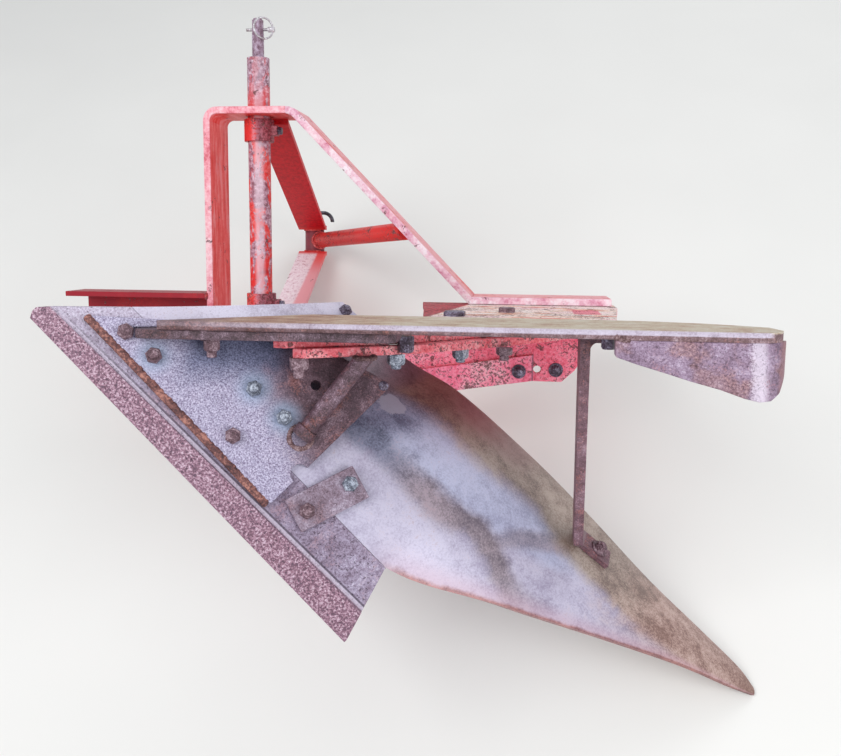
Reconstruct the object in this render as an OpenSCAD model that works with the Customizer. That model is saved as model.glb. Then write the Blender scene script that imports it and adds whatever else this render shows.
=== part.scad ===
// Single bottom moldboard plough, stored lying on its right side.
// Working frame: X runs rearward from the share point, Y to the plough's
// right, Z up from the sole. The wrapper stored() lays it on the ground.

/* [View] */
// Sub-part to draw

/* [Resting pose] */
// Roll of the plough about its length as it lies
rest_roll = -129.429; // [-140:0.01:-120]
// Slope of its length as it lies
rest_pitch = -0.365; // [-5:0.01:5]

/* [Share] */
// Cut width across the furrow
cut_width = 413; // [380:1:430]
// Slope of the share across its edge
share_slope = 25.7; // [24:0.1:27]
// Thickness of the share body
share_t = 8; // [6:0.5:10]
// Width of the bevelled cutting band at the point
band_left = 31; // [28:1:36]
// Width of the bevelled cutting band at the wing
band_right = 46; // [40:1:50]
// Width of the share along its slope, up to the moldboard
joint_w = 103.7; // [102:0.1:106]
// Lead of the point towards the land
point_lead = 14; // [10:1:16]

/* [Moldboard] */
// Plate thickness
moldboard_t = 6.5; // [5:0.5:8]
// Strips along the moldboard for each row of its net
along = 4; // [2:1:6]
// Strips up the moldboard
up = 12; // [6:1:16]

/* [Frog] */
// Thickness of the frog plate
frog_t = 8; // [6:0.5:9]
// Front edge of the frog plate from the cutting edge, along the slope
frog_front = 53; // [48:1:56]
// Rear corner of the frog plate, along the slope
frog_rear = 281; // [270:1:290]
// Right end of the frog plate, along the cutting edge
frog_end = 392; // [385:1:396]
// Thickness of the frog web
web_t = 12; // [10:0.5:12.5]
// Radius of the frog rod
rod_r = 12; // [10:0.5:13]

/* [Landside] */
// Thickness of the landside bar
land_t = 12; // [10:0.5:12.5]
// Height of the landside bar
land_h = 133; // [120:1:140]
// Rear end of the landside
land_end = 951; // [930:1:960]
// Height of the landside at its rear end, where it tapers
land_rear = 72; // [60:1:90]
// Radius of the landside's worn sole edge
land_round = 5; // [3:0.5:6]
// Thickness of the heel plate
heel_t = 12; // [10:0.5:14]
// Right edge of the heel plate at its widest
heel_w = 83; // [75:1:90]
// Outside radius of the heel's curled rear end
heel_curl = 45; // [35:1:55]
// Front end of the heel plate
heel_front = 748; // [740:1:756]

/* [Moldboard brace] */
// Place of the brace's bolt along the moldboard, in rows of its net
brace_s = 4.3; // [4:0.1:4.6]
// Place of the brace's bolt up the moldboard
brace_t = 0.72; // [0.68:0.01:0.76]
// Front of the brace's foot on the landside
brace_x = 710; // [700:1:720]

/* [Standards] */
// Thickness of each standard
standard_t = 12.7; // [11:0.1:13]
// Thickness of the rear bracket's upright leg
bracket_t = 12.6; // [10:0.1:13]
// Thickness of the rear bracket's flat leg
bracket_flat = 12; // [10:0.5:13]
// Right edge of the rear bracket
bracket_right = 150; // [140:1:160]

/* [Frame] */
// Width of the frame bar, standing on edge
bar_w = 101.6; // [95:0.1:105]
// Thickness of the frame bar
bar_t = 12.7; // [11:0.1:13.5]
// Lower edge of the frame bar above the sole
frame_z = 532; // [520:1:540]
// Front face of the frame's front leg
frame_x = 39.5; // [35:0.5:42]
// Outer face of the frame's left side
frame_left = -347; // [-350:1:-345]
// Outside radius of the frame's bends
bend_r = 26; // [20:1:32]
// Left face of the frame's tail, behind the diagonal
tail_left = -1.5; // [-2:0.1:-1.2]
// Rear end of the frame's tail
tail_end = 798; // [790:1:806]

/* [Hitch] */
// Position of the cross tube behind the share point
tube_x = 131; // [129:1:133]
// Radius of the cross tube
tube_r = 21.1; // [20:0.1:22]
// Distance between the shoulders of the cross tube
shoulder_span = 683; // [680:1:686]
// Radius of the lower hitch pins
pin_r = 11.1; // [10.9:0.1:11.3]
// Length of the lower hitch pins
pin_len = 72; // [70:1:76]
// Centre plane of the hitch
hitch_y = -101; // [-102:1:-100]
// Height of the top link pin above the sole
top_pin_z = 1025; // [1020:1:1030]
// Radius of the top link pin
top_pin_r = 9.5; // [9:0.1:10]
// Half the room between the mast arms at the top link pin
mast_half = 26; // [24:0.5:28]
// Thickness of a mast arm
arm_t = 10; // [9:0.5:10.5]
// Width of a mast arm
arm_w = 66; // [62:1:68]
// Radius of the spacer between the mast arms
spacer_r = 23; // [19:0.5:24]
// Radial running clearance of pins and tubes in their holes
running = 0.05; // [0.03:0.01:0.08]

/* [Hidden] */
$fn = 48;

red = [0.72, 0.10, 0.09];
rust = [0.36, 0.25, 0.22];
steel = [0.48, 0.46, 0.50];
dark = [0.16, 0.15, 0.15];

// Ground position of the lying plough, from its measured bounding box
rest_shift = [-384.689, -321.116, 617.096];

// Length of each hitch pin that takes the link's ball; its end is turned down beyond
link_seat = 46;
// Linch pin hole beyond the shoulder
linch_at = 52;
// Radius of a linch pin's shank
linch_r = 2.8;
rise = tan(share_slope);
// Length of the cutting edge, and how far the blank runs past the point before it is trimmed
edge_len = cut_width * sqrt(2) + 20;
edge_over = 10;
// Thickness of the worn cutting edge
edge_t = 2;
// Clearance of the cutting band's rear corner above the sole
land_lift = 3;
// Front ends of the landside bar and of the frog web
land_nose = 172;
web_nose = 140;
// Underside of the share body below the slope through the cutting edge
under = 6.5;
seat = 0.2;
// Gap between the share and the moldboard at their joint
joint_gap = 0.4;
tube_z = frame_z + bar_w / 2 + 2;
shoulder_left = hitch_y - shoulder_span / 2;
shoulder_right = hitch_y + shoulder_span / 2;
frame_top = frame_z + bar_w;
// The right leg of the frame runs inward to the rear, in line with its brace
right_turn = 8.8;
right_y = 196;
// Where the frame's left side bends into the diagonal, and the diagonal into the tail
bend_x = 196;
tail_x = 545;
// Step of the tail's bend between its outer and inner face
bend_step = 6;
// Faces of the standards, which stand beside the frog web
standards_left = land_t + web_t + 0.6;
standards_right = standards_left + 2 * standard_t + 0.3;

// Height of a plane parallel to the share slope, off below the cutting edge
function slope_z(x, y, off) = (x - y) / sqrt(2) * rise - off / cos(share_slope);

// Lays the children on the ground as the plough is stored
module stored() {
  translate(rest_shift)
    rotate([0, rest_pitch, 0])
      rotate([rest_roll, 0, 0])
        children();
}

// Plate standing in the XZ plane, from its left face to the right
module side_plate(left, thick) {
  translate([0, left + thick, 0])
    rotate([90, 0, 0])
      linear_extrude(thick)
        children();
}

// Frame lying in the share slope: x up the slope, y along the cutting edge
module on_slope() {
  rotate([0, 0, -45])
    rotate([0, -share_slope, 0])
      children();
}

// Round bar between two points
module rod_between(a, b, r) {
  v = b - a;
  translate(a)
    rotate([0, acos(v[2] / norm(v)), atan2(v[1], v[0])])
      cylinder(h = norm(v), r = r);
}

// Cylinder along Y
module y_rod(x, y0, y1, z, r) {
  translate([x, y1, z])
    rotate([90, 0, 0])
      cylinder(h = y1 - y0, r = r);
}

// Point of the share slope in the working frame: up the slope, along the edge, off the slope
function slope_point(w, e, off) =
    let (d = w * cos(share_slope) - off * sin(share_slope))
    [(e + d) / sqrt(2), (e - d) / sqrt(2), w * sin(share_slope) + off * cos(share_slope)];

// Section of the cutting band, a wedge from the edge to the step, at e along the edge. Its lower
// rear corner rests on the sole plane, land_lift above it.
function band_end(e, width) =
    let (edge = slope_point(0, e, 0), step = slope_point(width, e, -under))
    [edge, edge + [0, 0, edge_t], slope_point(width, e, share_t - under), [step[0], step[1], land_lift]];

module cutting_band() {
  ends = concat(band_end(-edge_over, band_left), band_end(edge_len, band_right));
  polyhedron(points = ends, faces = [
      [0, 1, 2, 3], [4, 7, 6, 5], [0, 4, 5, 1], [1, 5, 6, 2], [2, 6, 7, 3], [3, 7, 4, 0]]);
}

// Outline of the share seen from above: point, shin side, joint and wing
module share_plan() {
  wing = cut_width;
  polygon([[2, 0], [5, -9], [10, -point_lead], [26, -point_lead - 1], [134, -13], [500, 332], [463, 329],
      [wing + 27, wing - 41], [wing + 6, wing], [wing + 2, wing + 4]]);
}

// Share: bevelled cutting band, then the flat body up to the joint
module share() {
  color(rust)
    intersection() {
      union() {
        cutting_band();
        on_slope()
          translate([0, 0, -under])
            linear_extrude(share_t)
              polygon([[band_left - 4, -edge_over], [band_right - 4, edge_len], [joint_w, edge_len],
                  [joint_w, -edge_over]]);
      }
      translate([0, 0, -10])
        linear_extrude(120)
          share_plan();
    }
}

// The net of the moldboard's back. Each row runs from the lower edge
// over a middle handle to the upper edge.
LOW = 0;
MID = 1;
TOP = 2;
net = [
  [[121, -12, 0], [232, -13, 0], [350, -5, 310]],
  [[235, 99, 0], [390, 95, 0], [449, 86, 330]],
  [[350, 214, 0], [490, 150, 0], [539, 144, 345]],
  [[463, 327, 0], [582, 236, 0], [660, 250, 350]],
  [[615, 400, 105], [700, 346, 190], [750, 337, 344]],
  [[759, 461, 155], [815, 428, 226], [850, 437, 324]],
  [[881, 515, 197], [908, 500, 240], [925, 502, 302]],
  [[965, 565, 235], [977, 556, 252], [985, 553, 278]],
  [[1007, 589, 257], [1010, 585, 262], [1008, 581, 268]]];
rows = len(net);

// Rows of the net whose lower edge butts against the share
butted = 4;

// Corner of the net; the butted rows start along the share's upper edge, in its underside plane
function corner(i, k) = (k == TOP || i >= butted) ? net[i][k]
    : k == LOW ? slope_point(joint_w + joint_gap, (net[i][k][0] + net[i][k][1]) / sqrt(2), seat - under)
    : [net[i][k][0], net[i][k][1], slope_z(net[i][k][0], net[i][k][1], under - seat)];

// Smooth curve through one column of the net, s in row numbers
function through(s, k) =
    let (i = min(rows - 2, floor(s)), f = s - i,
        p0 = i > 0 ? corner(i - 1, k) : 2 * corner(0, k) - corner(1, k),
        p1 = corner(i, k), p2 = corner(i + 1, k),
        p3 = i < rows - 2 ? corner(i + 2, k) : 2 * corner(rows - 1, k) - corner(rows - 2, k))
    0.5 * (2 * p1 + f * (p2 - p0) + f * f * (2 * p0 - 5 * p1 + 4 * p2 - p3)
        + f * f * f * (3 * p1 - p0 - 3 * p2 + p3));

// Along the joint with the share the lower edge is straight
function low_edge(s) = s <= butted - 1
    ? let (a = corner(0, LOW), b = corner(butted - 1, LOW)) a + (b - a) * s / (butted - 1)
    : through(s, LOW);

// Point on the moldboard's back: s from shin to tail, t from the lower edge up
function board_at(s, t) =
    (1 - t) * (1 - t) * low_edge(s) + 2 * t * (1 - t) * through(s, MID) + t * t * through(s, TOP);

// Direction from the back towards the working face
function board_normal(s, t) =
    let (e = 0.02, s0 = max(0, s - e), s1 = min(rows - 1, s + e), t0 = max(0, t - e), t1 = min(1, t + e),
        v = cross(board_at(s, t1) - board_at(s, t0), board_at(s1, t) - board_at(s0, t)))
    v / norm(v);

module moldboard() {
  ns = (rows - 1) * along;
  back = [for (i = [0 : ns]) for (j = [0 : up]) board_at(i / along, j / up)];
  face = [for (i = [0 : ns]) for (j = [0 : up])
      board_at(i / along, j / up) + moldboard_t * board_normal(i / along, j / up)];
  n = len(back);
  w = up + 1;
  at_face = [n, n, n];
  color(steel)
    polyhedron(points = concat(back, face), faces = concat(
        [for (i = [0 : ns - 1]) for (j = [0 : up - 1]) [i * w + j, i * w + w + j + 1, i * w + j + 1]],
        [for (i = [0 : ns - 1]) for (j = [0 : up - 1]) [i * w + j, i * w + w + j, i * w + w + j + 1]],
        [for (i = [0 : ns - 1]) for (j = [0 : up - 1])
            at_face + [i * w + j, i * w + j + 1, i * w + w + j + 1]],
        [for (i = [0 : ns - 1]) for (j = [0 : up - 1])
            at_face + [i * w + j, i * w + w + j + 1, i * w + w + j]],
        [for (i = [0 : ns - 1]) [i * w, n + i * w + w, i * w + w]],
        [for (i = [0 : ns - 1]) [i * w, n + i * w, n + i * w + w]],
        [for (i = [0 : ns - 1]) [i * w + up, n + i * w + w + up, n + i * w + up]],
        [for (i = [0 : ns - 1]) [i * w + up, i * w + w + up, n + i * w + w + up]],
        [for (j = [0 : up - 1]) [j, n + j + 1, n + j]],
        [for (j = [0 : up - 1]) [j, j + 1, n + j + 1]],
        [for (j = [0 : up - 1]) [ns * w + j, n + ns * w + j + 1, ns * w + j + 1]],
        [for (j = [0 : up - 1]) [ns * w + j, n + ns * w + j, n + ns * w + j + 1]]));
}

// Flat plate of the frog, under the share and the moldboard
module frog_plate() {
  notch_r = 12;
  notch_w = 109;
  bolt_hole = [206, 320];
  bolt_hole_r = 6.5;
  shin = 48;
  corner = 4;
  color(rust)
    difference() {
      on_slope()
        translate([0, 0, -under - frog_t])
          linear_extrude(frog_t)
            difference() {
              polygon([[frog_front, shin], [frog_rear - 52, shin + 182], [frog_rear - 13, frog_end - 46],
                  [frog_rear, frog_end - corner], [frog_rear - corner, frog_end],
                  [frog_front + corner, frog_end], [frog_front, frog_end - corner]]);
              translate([notch_w, frog_end - 2])
                circle(r = notch_r);
              translate(bolt_hole)
                circle(r = bolt_hole_r);
            }
      translate([land_nose - 2, -200, -50])
        cube([400, 200 + standards_left, 300]);
      translate([web_nose - 10, land_t - 0.4, -50])
        cube([400, standards_left - land_t + 0.4, 300]);
    }
}

// Upright web of the frog beside the landside, up to the shin
module frog_web() {
  nose = web_nose;
  tail = 480;
  crown = 250;
  color(rust)
    side_plate(land_t, web_t)
      polygon([[nose + 3, 6], [nose + 19, 3], [tail - 10, 10], [tail, 22], [tail, 60], [tail - 65, crown],
          [tail - 92, crown], [330, 182], [262, 104], [200, 54], [nose + 2, 22], [nose - 2, 14]]);
}

// Rod from the frog plate to the standards
module frog_rod() {
  foot = [350, 154, 50];
  head = [433, 45, 78];
  color(rust)
    difference() {
      union() {
        rod_between(foot + [-2, 3, 2], head, rod_r);
        rod_between(foot + 0.08 * (head - foot), foot - 0.02 * (head - foot), rod_r + 3);
      }
      on_slope()
        translate([0, 0, -under - frog_t])
          cube([600, 600, 60]);
      translate([300, -100, -50])
        cube([300, 100 + standards_right, 300]);
    }
}

// Strap across the joint of share and moldboard, under both
module joint_strap() {
  strap_t = 7;
  corner = [71, 401];
  long = [95, 31];
  across = [-13, 46];
  color(rust)
    on_slope()
      translate([0, 0, -under - strap_t])
        linear_extrude(strap_t)
          polygon([corner, corner + long, corner + long + across, corner + across]);
}

// Bar with a worn, rounded sole edge, sloping up along the shin and tapering at the rear
module landside_bar() {
  nose = land_nose;
  shin_top = 345;
  color(rust)
    intersection() {
      side_plate(0, land_t)
        polygon([[nose + 8, 0], [land_end - 34, 0], [land_end - 18, 5], [land_end - 6, 16],
            [land_end, 34], [land_end - 7, land_rear],
            [land_end - 36, land_rear + 16], [land_end - 81, land_h - 23], [land_end - 150, land_h - 6],
            [land_end - 210, land_h], [shin_top, land_h], [nose + 2, 9], [nose, 4]]);
      union() {
        translate([nose - 10, 0, 0])
          rotate([90, 0, 90])
            linear_extrude(land_end)
              hull() {
                for (y = [land_round, land_t - land_round])
                  translate([y, land_round])
                    circle(r = land_round, $fn = 32);
                translate([0, land_h - 6])
                  square([land_t, 7]);
              }
        translate([heel_front, land_round, 0])
          cube([land_end - heel_front, land_t - land_round, heel_t]);
      }
    }
}

// Shoe at the rear of the landside: a plate on the sole, widening to the rear and curled up at its end
module landside_heel() {
  curl_at = land_end - heel_curl + 5;
  color(rust)
    intersection() {
      side_plate(land_t, heel_w - land_t)
        union() {
          translate([heel_front, 0])
            square([curl_at - heel_front, heel_t]);
          translate([curl_at, heel_curl])
            intersection() {
              difference() {
                circle(r = heel_curl);
                circle(r = heel_curl - heel_t);
              }
              translate([0, -heel_curl])
                square([heel_curl, heel_curl - 8]);
            }
        }
      linear_extrude(100)
        polygon([[heel_front, 0], [land_end + 20, 0], [land_end + 10, 26], [land_end + 1, 58],
            [land_end - 6, 74],
            [land_end - 18, heel_w - 1], [land_end - 32, heel_w], [land_end - 50, heel_w - 4],
            [land_end - 79, heel_w - 14], [land_end - 113, heel_w - 23], [heel_front + 57, 50],
            [heel_front + 26, 41], [heel_front + 2, 33], [heel_front, 30]]);
    }
}

// Seat on the moldboard's back: x along the plate, y up it, z off its back
module on_board(s, t) {
  n = board_normal(s, t);
  v = board_at(s + 0.02, t) - board_at(s, t);
  a = v / norm(v);
  b = cross(n, a);
  p = board_at(s, t);
  multmatrix([[a[0], b[0], n[0], p[0]], [a[1], b[1], n[1], p[1]], [a[2], b[2], n[2], p[2]], [0, 0, 0, 1]])
    children();
}

// Flat brace from the landside to the back of the moldboard: a foot along the landside,
// a rounded bend, the strut, and a flange that lies on the board
module moldboard_brace() {
  strut = 13;
  wide = 44;
  foot_z = 50;
  far_y = 325;
  far_z = 186;
  foot_end = 36;
  bend = 11;
  flange_t = 8;
  color(rust)
    union() {
      translate([brace_x, land_t, foot_z])
        cube([foot_end, 10, wide]);
      translate([brace_x + strut - 1, land_t + 9, foot_z + 6])
        linear_extrude(wide - 8)
          difference() {
            square(bend + 1);
            translate([bend + 1, bend + 1])
              circle(r = bend, $fn = 32);
          }
      hull() {
        translate([brace_x, land_t, foot_z])
          cube([strut, 12, wide]);
        translate([brace_x + 10, far_y, far_z])
          cube([strut, 12, wide - 4]);
      }
      hull() {
        translate([brace_x + 10, far_y, far_z])
          cube([strut, 12, wide - 4]);
        on_board(brace_s, brace_t)
          translate([-32, -18, -flange_t - 1])
            cube([12, 32, flange_t]);
      }
      on_board(brace_s, brace_t)
        translate([-30, -18, -flange_t - 1])
          cube([60, 34, flange_t]);
    }
}

// Side shape of a standard: a toe on the frog, swept back and up under the rear bracket
module standard_shape(toe) {
  rear = 755;
  front = 470;
  head = frame_z - bracket_flat - 15;
  polygon([toe, toe + [16, -4], toe + [158, 72], toe + [248, 150], toe + [338, 246], [rear - 13, head - 105],
      [rear, head - 75], [rear, head], [front + 50, head], [front + 15, head - 45], [front, head - 145],
      toe + [156, 174], toe + [135, 74], toe + [6, 18]]);
}

module standard_left() {
  color(red)
    side_plate(standards_left, standard_t)
      standard_shape([312, 46]);
}

module standard_right() {
  color(red)
    side_plate(standards_left + standard_t + 0.3, standard_t)
      translate([8, 0])
        standard_shape([330, 46]);
}

// Angle bracket between the standards and the frame: its upright leg stands against the right
// face of the frame's tail, its flat leg reaches right over the standards
module rear_bracket() {
  left = standards_left - bracket_t;
  spare_hole = [667, 128];
  color(red)
    union() {
      side_plate(left, bracket_t - 0.2)
        polygon([[450, frame_z + 42], [458, frame_z - 12], [482, 296], [502, 205], [600, 205], [660, 262],
            [778, 262], [791, 384], [806, frame_z - 21], [806, frame_z + 42]]);
      translate([0, 0, frame_z - bracket_flat])
        linear_extrude(bracket_flat)
          difference() {
            polygon([[462, standards_left - 1], [745, standards_left - 1], [745, bracket_right - 38],
                [735, bracket_right - 22], [712, bracket_right], [462, bracket_right]]);
            translate(spare_hole)
              circle(r = 7);
          }
    }
}

// Flat brace from the rear bracket to the right leg of the frame, on a packer at its front
module right_brace() {
  rear = 660;
  front = 120;
  near = 100;
  wide = 48;
  thick = 9.5;
  packer_rear = 250;
  packer_front = 130;
  packer_near = 120;
  packer_wide = 50;
  drift = tan(right_turn);
  packer_drift = (packer_rear - packer_front) * drift;
  color(red)
    union() {
      translate([0, 0, frame_z - bracket_flat - thick])
        linear_extrude(thick)
          polygon([[rear, near], [rear, near + wide], [front, near + wide + (rear - front) * drift],
              [front, near + (rear - front) * drift]]);
      translate([0, 0, frame_z - bracket_flat])
        linear_extrude(bracket_flat)
          polygon([[packer_rear, packer_near + packer_wide], [packer_rear, packer_near],
              [packer_front, packer_near + packer_drift],
              [packer_front, packer_near + packer_wide + packer_drift]]);
    }
}

// Ring of the frame's bends, centred on a bend
module bend_ring() {
  difference() {
    circle(r = bend_r);
    circle(r = bend_r - bar_t);
  }
}

// Front leg of the frame with the bends at both ends
module frame_front() {
  left_centre = frame_left + bend_r;
  right_centre = right_y - bend_r;
  color(red)
    translate([frame_x, 0, frame_z])
      linear_extrude(bar_w)
        union() {
          translate([0, left_centre])
            square([bar_t, right_centre - left_centre]);
          translate([bend_r, left_centre])
            intersection() {
              bend_ring();
              translate([-bend_r, -bend_r])
                square(bend_r);
            }
          translate([bend_r, right_centre])
            intersection() {
              bend_ring();
              rotate(-right_turn)
                translate([-2 * bend_r, -2 * bend_r])
                  square([2 * bend_r, 4 * bend_r]);
              translate([-2 * bend_r, 0])
                square([4 * bend_r, 2 * bend_r]);
            }
        }
}

module frame_left() {
  color(red)
    difference() {
      translate([frame_x + bend_r, frame_left, frame_z])
        cube([bend_x - frame_x - bend_r, bar_t, bar_w]);
      y_rod(tube_x, frame_left - 5, frame_left + 30, tube_z, tube_r + running);
    }
}

// Diagonal leg of the frame, from its left side to its tail
module frame_diagonal() {
  color(red)
    translate([0, 0, frame_z])
      linear_extrude(bar_w)
        polygon([[bend_x, frame_left], [bend_x + 8, frame_left + 1], [bend_x + 20, frame_left + 6],
            [tail_x, tail_left], [tail_x - bend_step, tail_left + bar_t], [bend_x + 12, frame_left + 17],
            [bend_x + 6, frame_left + 14], [bend_x, frame_left + bar_t]]);
}

// Straight tail of the frame
module frame_tail() {
  color(red)
    translate([0, 0, frame_z])
      linear_extrude(bar_w)
        polygon([[tail_x, tail_left], [tail_end, tail_left], [tail_end, tail_left + bar_t],
            [tail_x - bend_step, tail_left + bar_t]]);
}

// Along the inner face of the frame's right leg: x runs rearward, y to the right from that face
module on_right_leg() {
  translate([frame_x + bend_r, right_y - bend_r, 0])
    rotate([0, 0, -right_turn])
      translate([0, bend_r - bar_t, 0])
        children();
}

module frame_right() {
  color(red)
    difference() {
      on_right_leg()
        translate([0, 0, frame_z])
          cube([230, bar_t, bar_w]);
      y_rod(tube_x, 100, 300, tube_z, tube_r + running);
    }
}

// Angle arm ahead of the frame
module coulter_arm() {
  reach = 285;
  leg = 76;
  thick = 9.5;
  step = 11;
  color(red)
    union() {
      translate([frame_x - reach, 0, frame_z])
        cube([reach, thick, leg]);
      translate([frame_x - reach + step, 0, frame_z + leg - thick])
        cube([reach - step, leg, thick]);
    }
}

// Tube across the frame with a hitch pin at each end
module cross_tube() {
  hole = linch_r + running;
  color(red)
    difference() {
      union() {
        y_rod(tube_x, shoulder_left, shoulder_right, tube_z, tube_r);
        y_rod(tube_x, shoulder_left - link_seat, shoulder_right + link_seat, tube_z, pin_r);
        y_rod(tube_x, shoulder_left - pin_len + 3, shoulder_right + pin_len - 3, tube_z, pin_r - 0.5);
        y_rod(tube_x, shoulder_left - pin_len, shoulder_right + pin_len, tube_z, pin_r - 3);
      }
      for (y = [shoulder_left - linch_at, shoulder_right + linch_at])
        translate([tube_x - 30, y, tube_z])
          rotate([0, 90, 0])
            cylinder(h = 60, r = hole);
    }
}

// Set collar on the cross tube
module collar(y) {
  wide = 41;
  wall = 7;
  boss = 18;
  color(red)
    difference() {
      union() {
        y_rod(tube_x, y, y + wide, tube_z, tube_r + wall);
        translate([tube_x + tube_r + 2, y + (wide - boss) / 2, tube_z - boss / 2])
          cube([14, boss, boss]);
      }
      y_rod(tube_x, y - 1, y + wide + 1, tube_z, tube_r + running);
    }
}

module collar_left() {
  collar(frame_left + bar_t + 5.3);
}

module collar_right() {
  collar(1);
}

// Linch pin: shank through the hitch pin, head and spring ring
module linch_pin(y) {
  shank = 50;
  head_at = 20;
  ring = 19;
  ring_lean = -40;
  color(dark)
    union() {
      translate([tube_x - 22, y, tube_z])
        rotate([0, 90, 0])
          cylinder(h = shank, r = linch_r);
      translate([tube_x + head_at, y, tube_z])
        rotate([0, 90, 0])
          cylinder(h = 12, r = 5);
      translate([tube_x + head_at + 10, y, tube_z])
        rotate([0, ring_lean, 0])
          translate([-ring - 1, 0, 0])
            rotate_extrude()
              translate([ring, 0])
                circle(r = 1.8, $fn = 16);
    }
}

module linch_pin_left() {
  linch_pin(shoulder_left - linch_at);
}

module linch_pin_right() {
  linch_pin(shoulder_right + linch_at);
}

// One mast arm: a flat bar leaning in from the frame and bent upright at the top link pin; side is -1
// or 1, foot the outer face at its lower end and ahead how far that end reaches before the cross tube
module mast_arm(side, foot, ahead) {
  top = hitch_y + side * mast_half;
  bent = top_pin_z - 26;
  end_r = 27;
  color(red)
    difference() {
      union() {
        translate([tube_x, side < 0 ? top : top + arm_t, 0])
          rotate([90, 0, 0])
            linear_extrude(arm_t)
              hull() {
                translate([0, top_pin_z])
                  circle(r = end_r);
                translate([-arm_w / 2, bent])
                  square([arm_w, 12]);
              }
        hull() {
          translate([tube_x - arm_w / 2, side < 0 ? top - arm_t : top, bent])
            cube([arm_w, arm_t, 2]);
          translate([tube_x - ahead, side < 0 ? foot : foot - arm_t, tube_z + tube_r + 9])
            cube([arm_w, arm_t, 2]);
        }
      }
      y_rod(tube_x, top - 20, top + 20, top_pin_z, top_pin_r + running);
    }
}

module mast_arm_left() {
  mast_arm(-1, frame_left + bar_t, 18);
}

module mast_arm_right() {
  mast_arm(1, 168.9, 40);
}

module mast_spacer() {
  color(red)
    difference() {
      y_rod(tube_x, hitch_y - mast_half, hitch_y + mast_half, top_pin_z, spacer_r);
      y_rod(tube_x, hitch_y - 40, hitch_y + 40, top_pin_z, top_pin_r + running);
    }
}

// Pipe from the mast spacer to the diagonal of the frame
module mast_brace() {
  color(red)
    difference() {
      rod_between([tube_x + 8, hitch_y, top_pin_z - 9], [412, -122, frame_top - 26], 17.5);
      y_rod(tube_x, hitch_y - mast_half + 2, hitch_y + mast_half - 2, top_pin_z, spacer_r + 0.3);
      translate([0, 0, frame_z - 1])
        linear_extrude(bar_w + 40)
          polygon([[bend_x + 12, frame_left + 17], [tail_x - bend_step, tail_left + bar_t],
              [tail_end, tail_left + bar_t], [tail_end, frame_left - 50], [bend_x + 12, frame_left - 50]]);
    }
}

// Top link pin, with a collar and a handle bent back from its left end
module top_link_pin() {
  left = hitch_y - 62;
  handle_r = 4.5;
  handle_bend = 22;
  color(dark)
    union() {
      y_rod(tube_x, hitch_y - 50, hitch_y + 50, top_pin_z, top_pin_r);
      y_rod(tube_x, left, hitch_y - 50, top_pin_z, top_pin_r + 5);
      translate([tube_x, left - 5, top_pin_z])
        rotate([0, 90, 0])
          cylinder(h = handle_bend, r = handle_r);
      y_rod(tube_x, left - 5, left + 1, top_pin_z, handle_r + 1);
      translate([tube_x + handle_bend, left - 5 + handle_bend, top_pin_z])
        rotate([0, 0, -90])
          rotate_extrude(angle = 90)
            translate([handle_bend, 0])
              circle(r = handle_r, $fn = 24);
    }
}

stored() share();
stored() moldboard();
stored() frog_plate();
stored() frog_web();
stored() frog_rod();
stored() joint_strap();
stored() landside_bar();
stored() landside_heel();
stored() moldboard_brace();
stored() standard_left();
stored() standard_right();
stored() rear_bracket();
stored() right_brace();
stored() frame_front();
stored() frame_left();
stored() frame_diagonal();
stored() frame_tail();
stored() frame_right();
stored() coulter_arm();
stored() cross_tube();
stored() collar_left();
stored() collar_right();
stored() linch_pin_left();
stored() linch_pin_right();
stored() mast_arm_left();
stored() mast_arm_right();
stored() mast_spacer();
stored() mast_brace();
stored() top_link_pin();
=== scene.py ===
"""A single-bottom moldboard plough, lying on its right side on a pale floor.

Places are millimetres in the plough's own frame: x runs back from the share
point, y to the plough's right and z up from the sole. laid() takes them to
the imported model's frame in metres, where every finished mesh lies.
"""

import math

import bmesh
import bpy
import numpy as np
from mathutils import Matrix

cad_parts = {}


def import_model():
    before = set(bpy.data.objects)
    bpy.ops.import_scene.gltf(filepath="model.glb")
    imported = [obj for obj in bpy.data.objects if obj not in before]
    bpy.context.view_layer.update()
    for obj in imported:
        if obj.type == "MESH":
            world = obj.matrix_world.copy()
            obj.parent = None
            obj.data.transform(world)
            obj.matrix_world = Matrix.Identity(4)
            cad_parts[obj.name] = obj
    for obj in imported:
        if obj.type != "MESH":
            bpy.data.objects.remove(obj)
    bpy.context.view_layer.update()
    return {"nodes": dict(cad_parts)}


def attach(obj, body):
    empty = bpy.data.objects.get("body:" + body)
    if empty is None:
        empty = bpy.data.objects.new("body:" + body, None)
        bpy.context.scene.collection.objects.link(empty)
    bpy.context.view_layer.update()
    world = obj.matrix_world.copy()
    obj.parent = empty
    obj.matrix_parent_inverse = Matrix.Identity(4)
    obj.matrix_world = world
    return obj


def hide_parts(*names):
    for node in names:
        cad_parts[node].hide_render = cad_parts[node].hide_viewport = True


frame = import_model()

# How the plough lies: its roll about its length, its pitch, and the place of the share point
ROLL = math.radians(-129.429)
PITCH = math.radians(-0.365)
SHIFT = np.array([-384.689, -321.116, 617.096])
TURN = np.array(Matrix.Rotation(PITCH, 3, "Y") @ Matrix.Rotation(ROLL, 3, "X"))

# The share slope and what lies in it
SLOPE = math.radians(25.7)
SHARE_UNDER = 6.5
FROG_T = 8
STRAP_T = 7
JOINT_W = 103.7
JOINT_GAP = 0.4

# Landside, frog web, standards, bracket and right brace
LAND_T = 12
LAND_END = 951
WEB_RIGHT = 24
STANDARDS_RIGHT = 50.3
BRACKET_FLAT = 12
RIGHT_BRACE_T = 9.5

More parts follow.
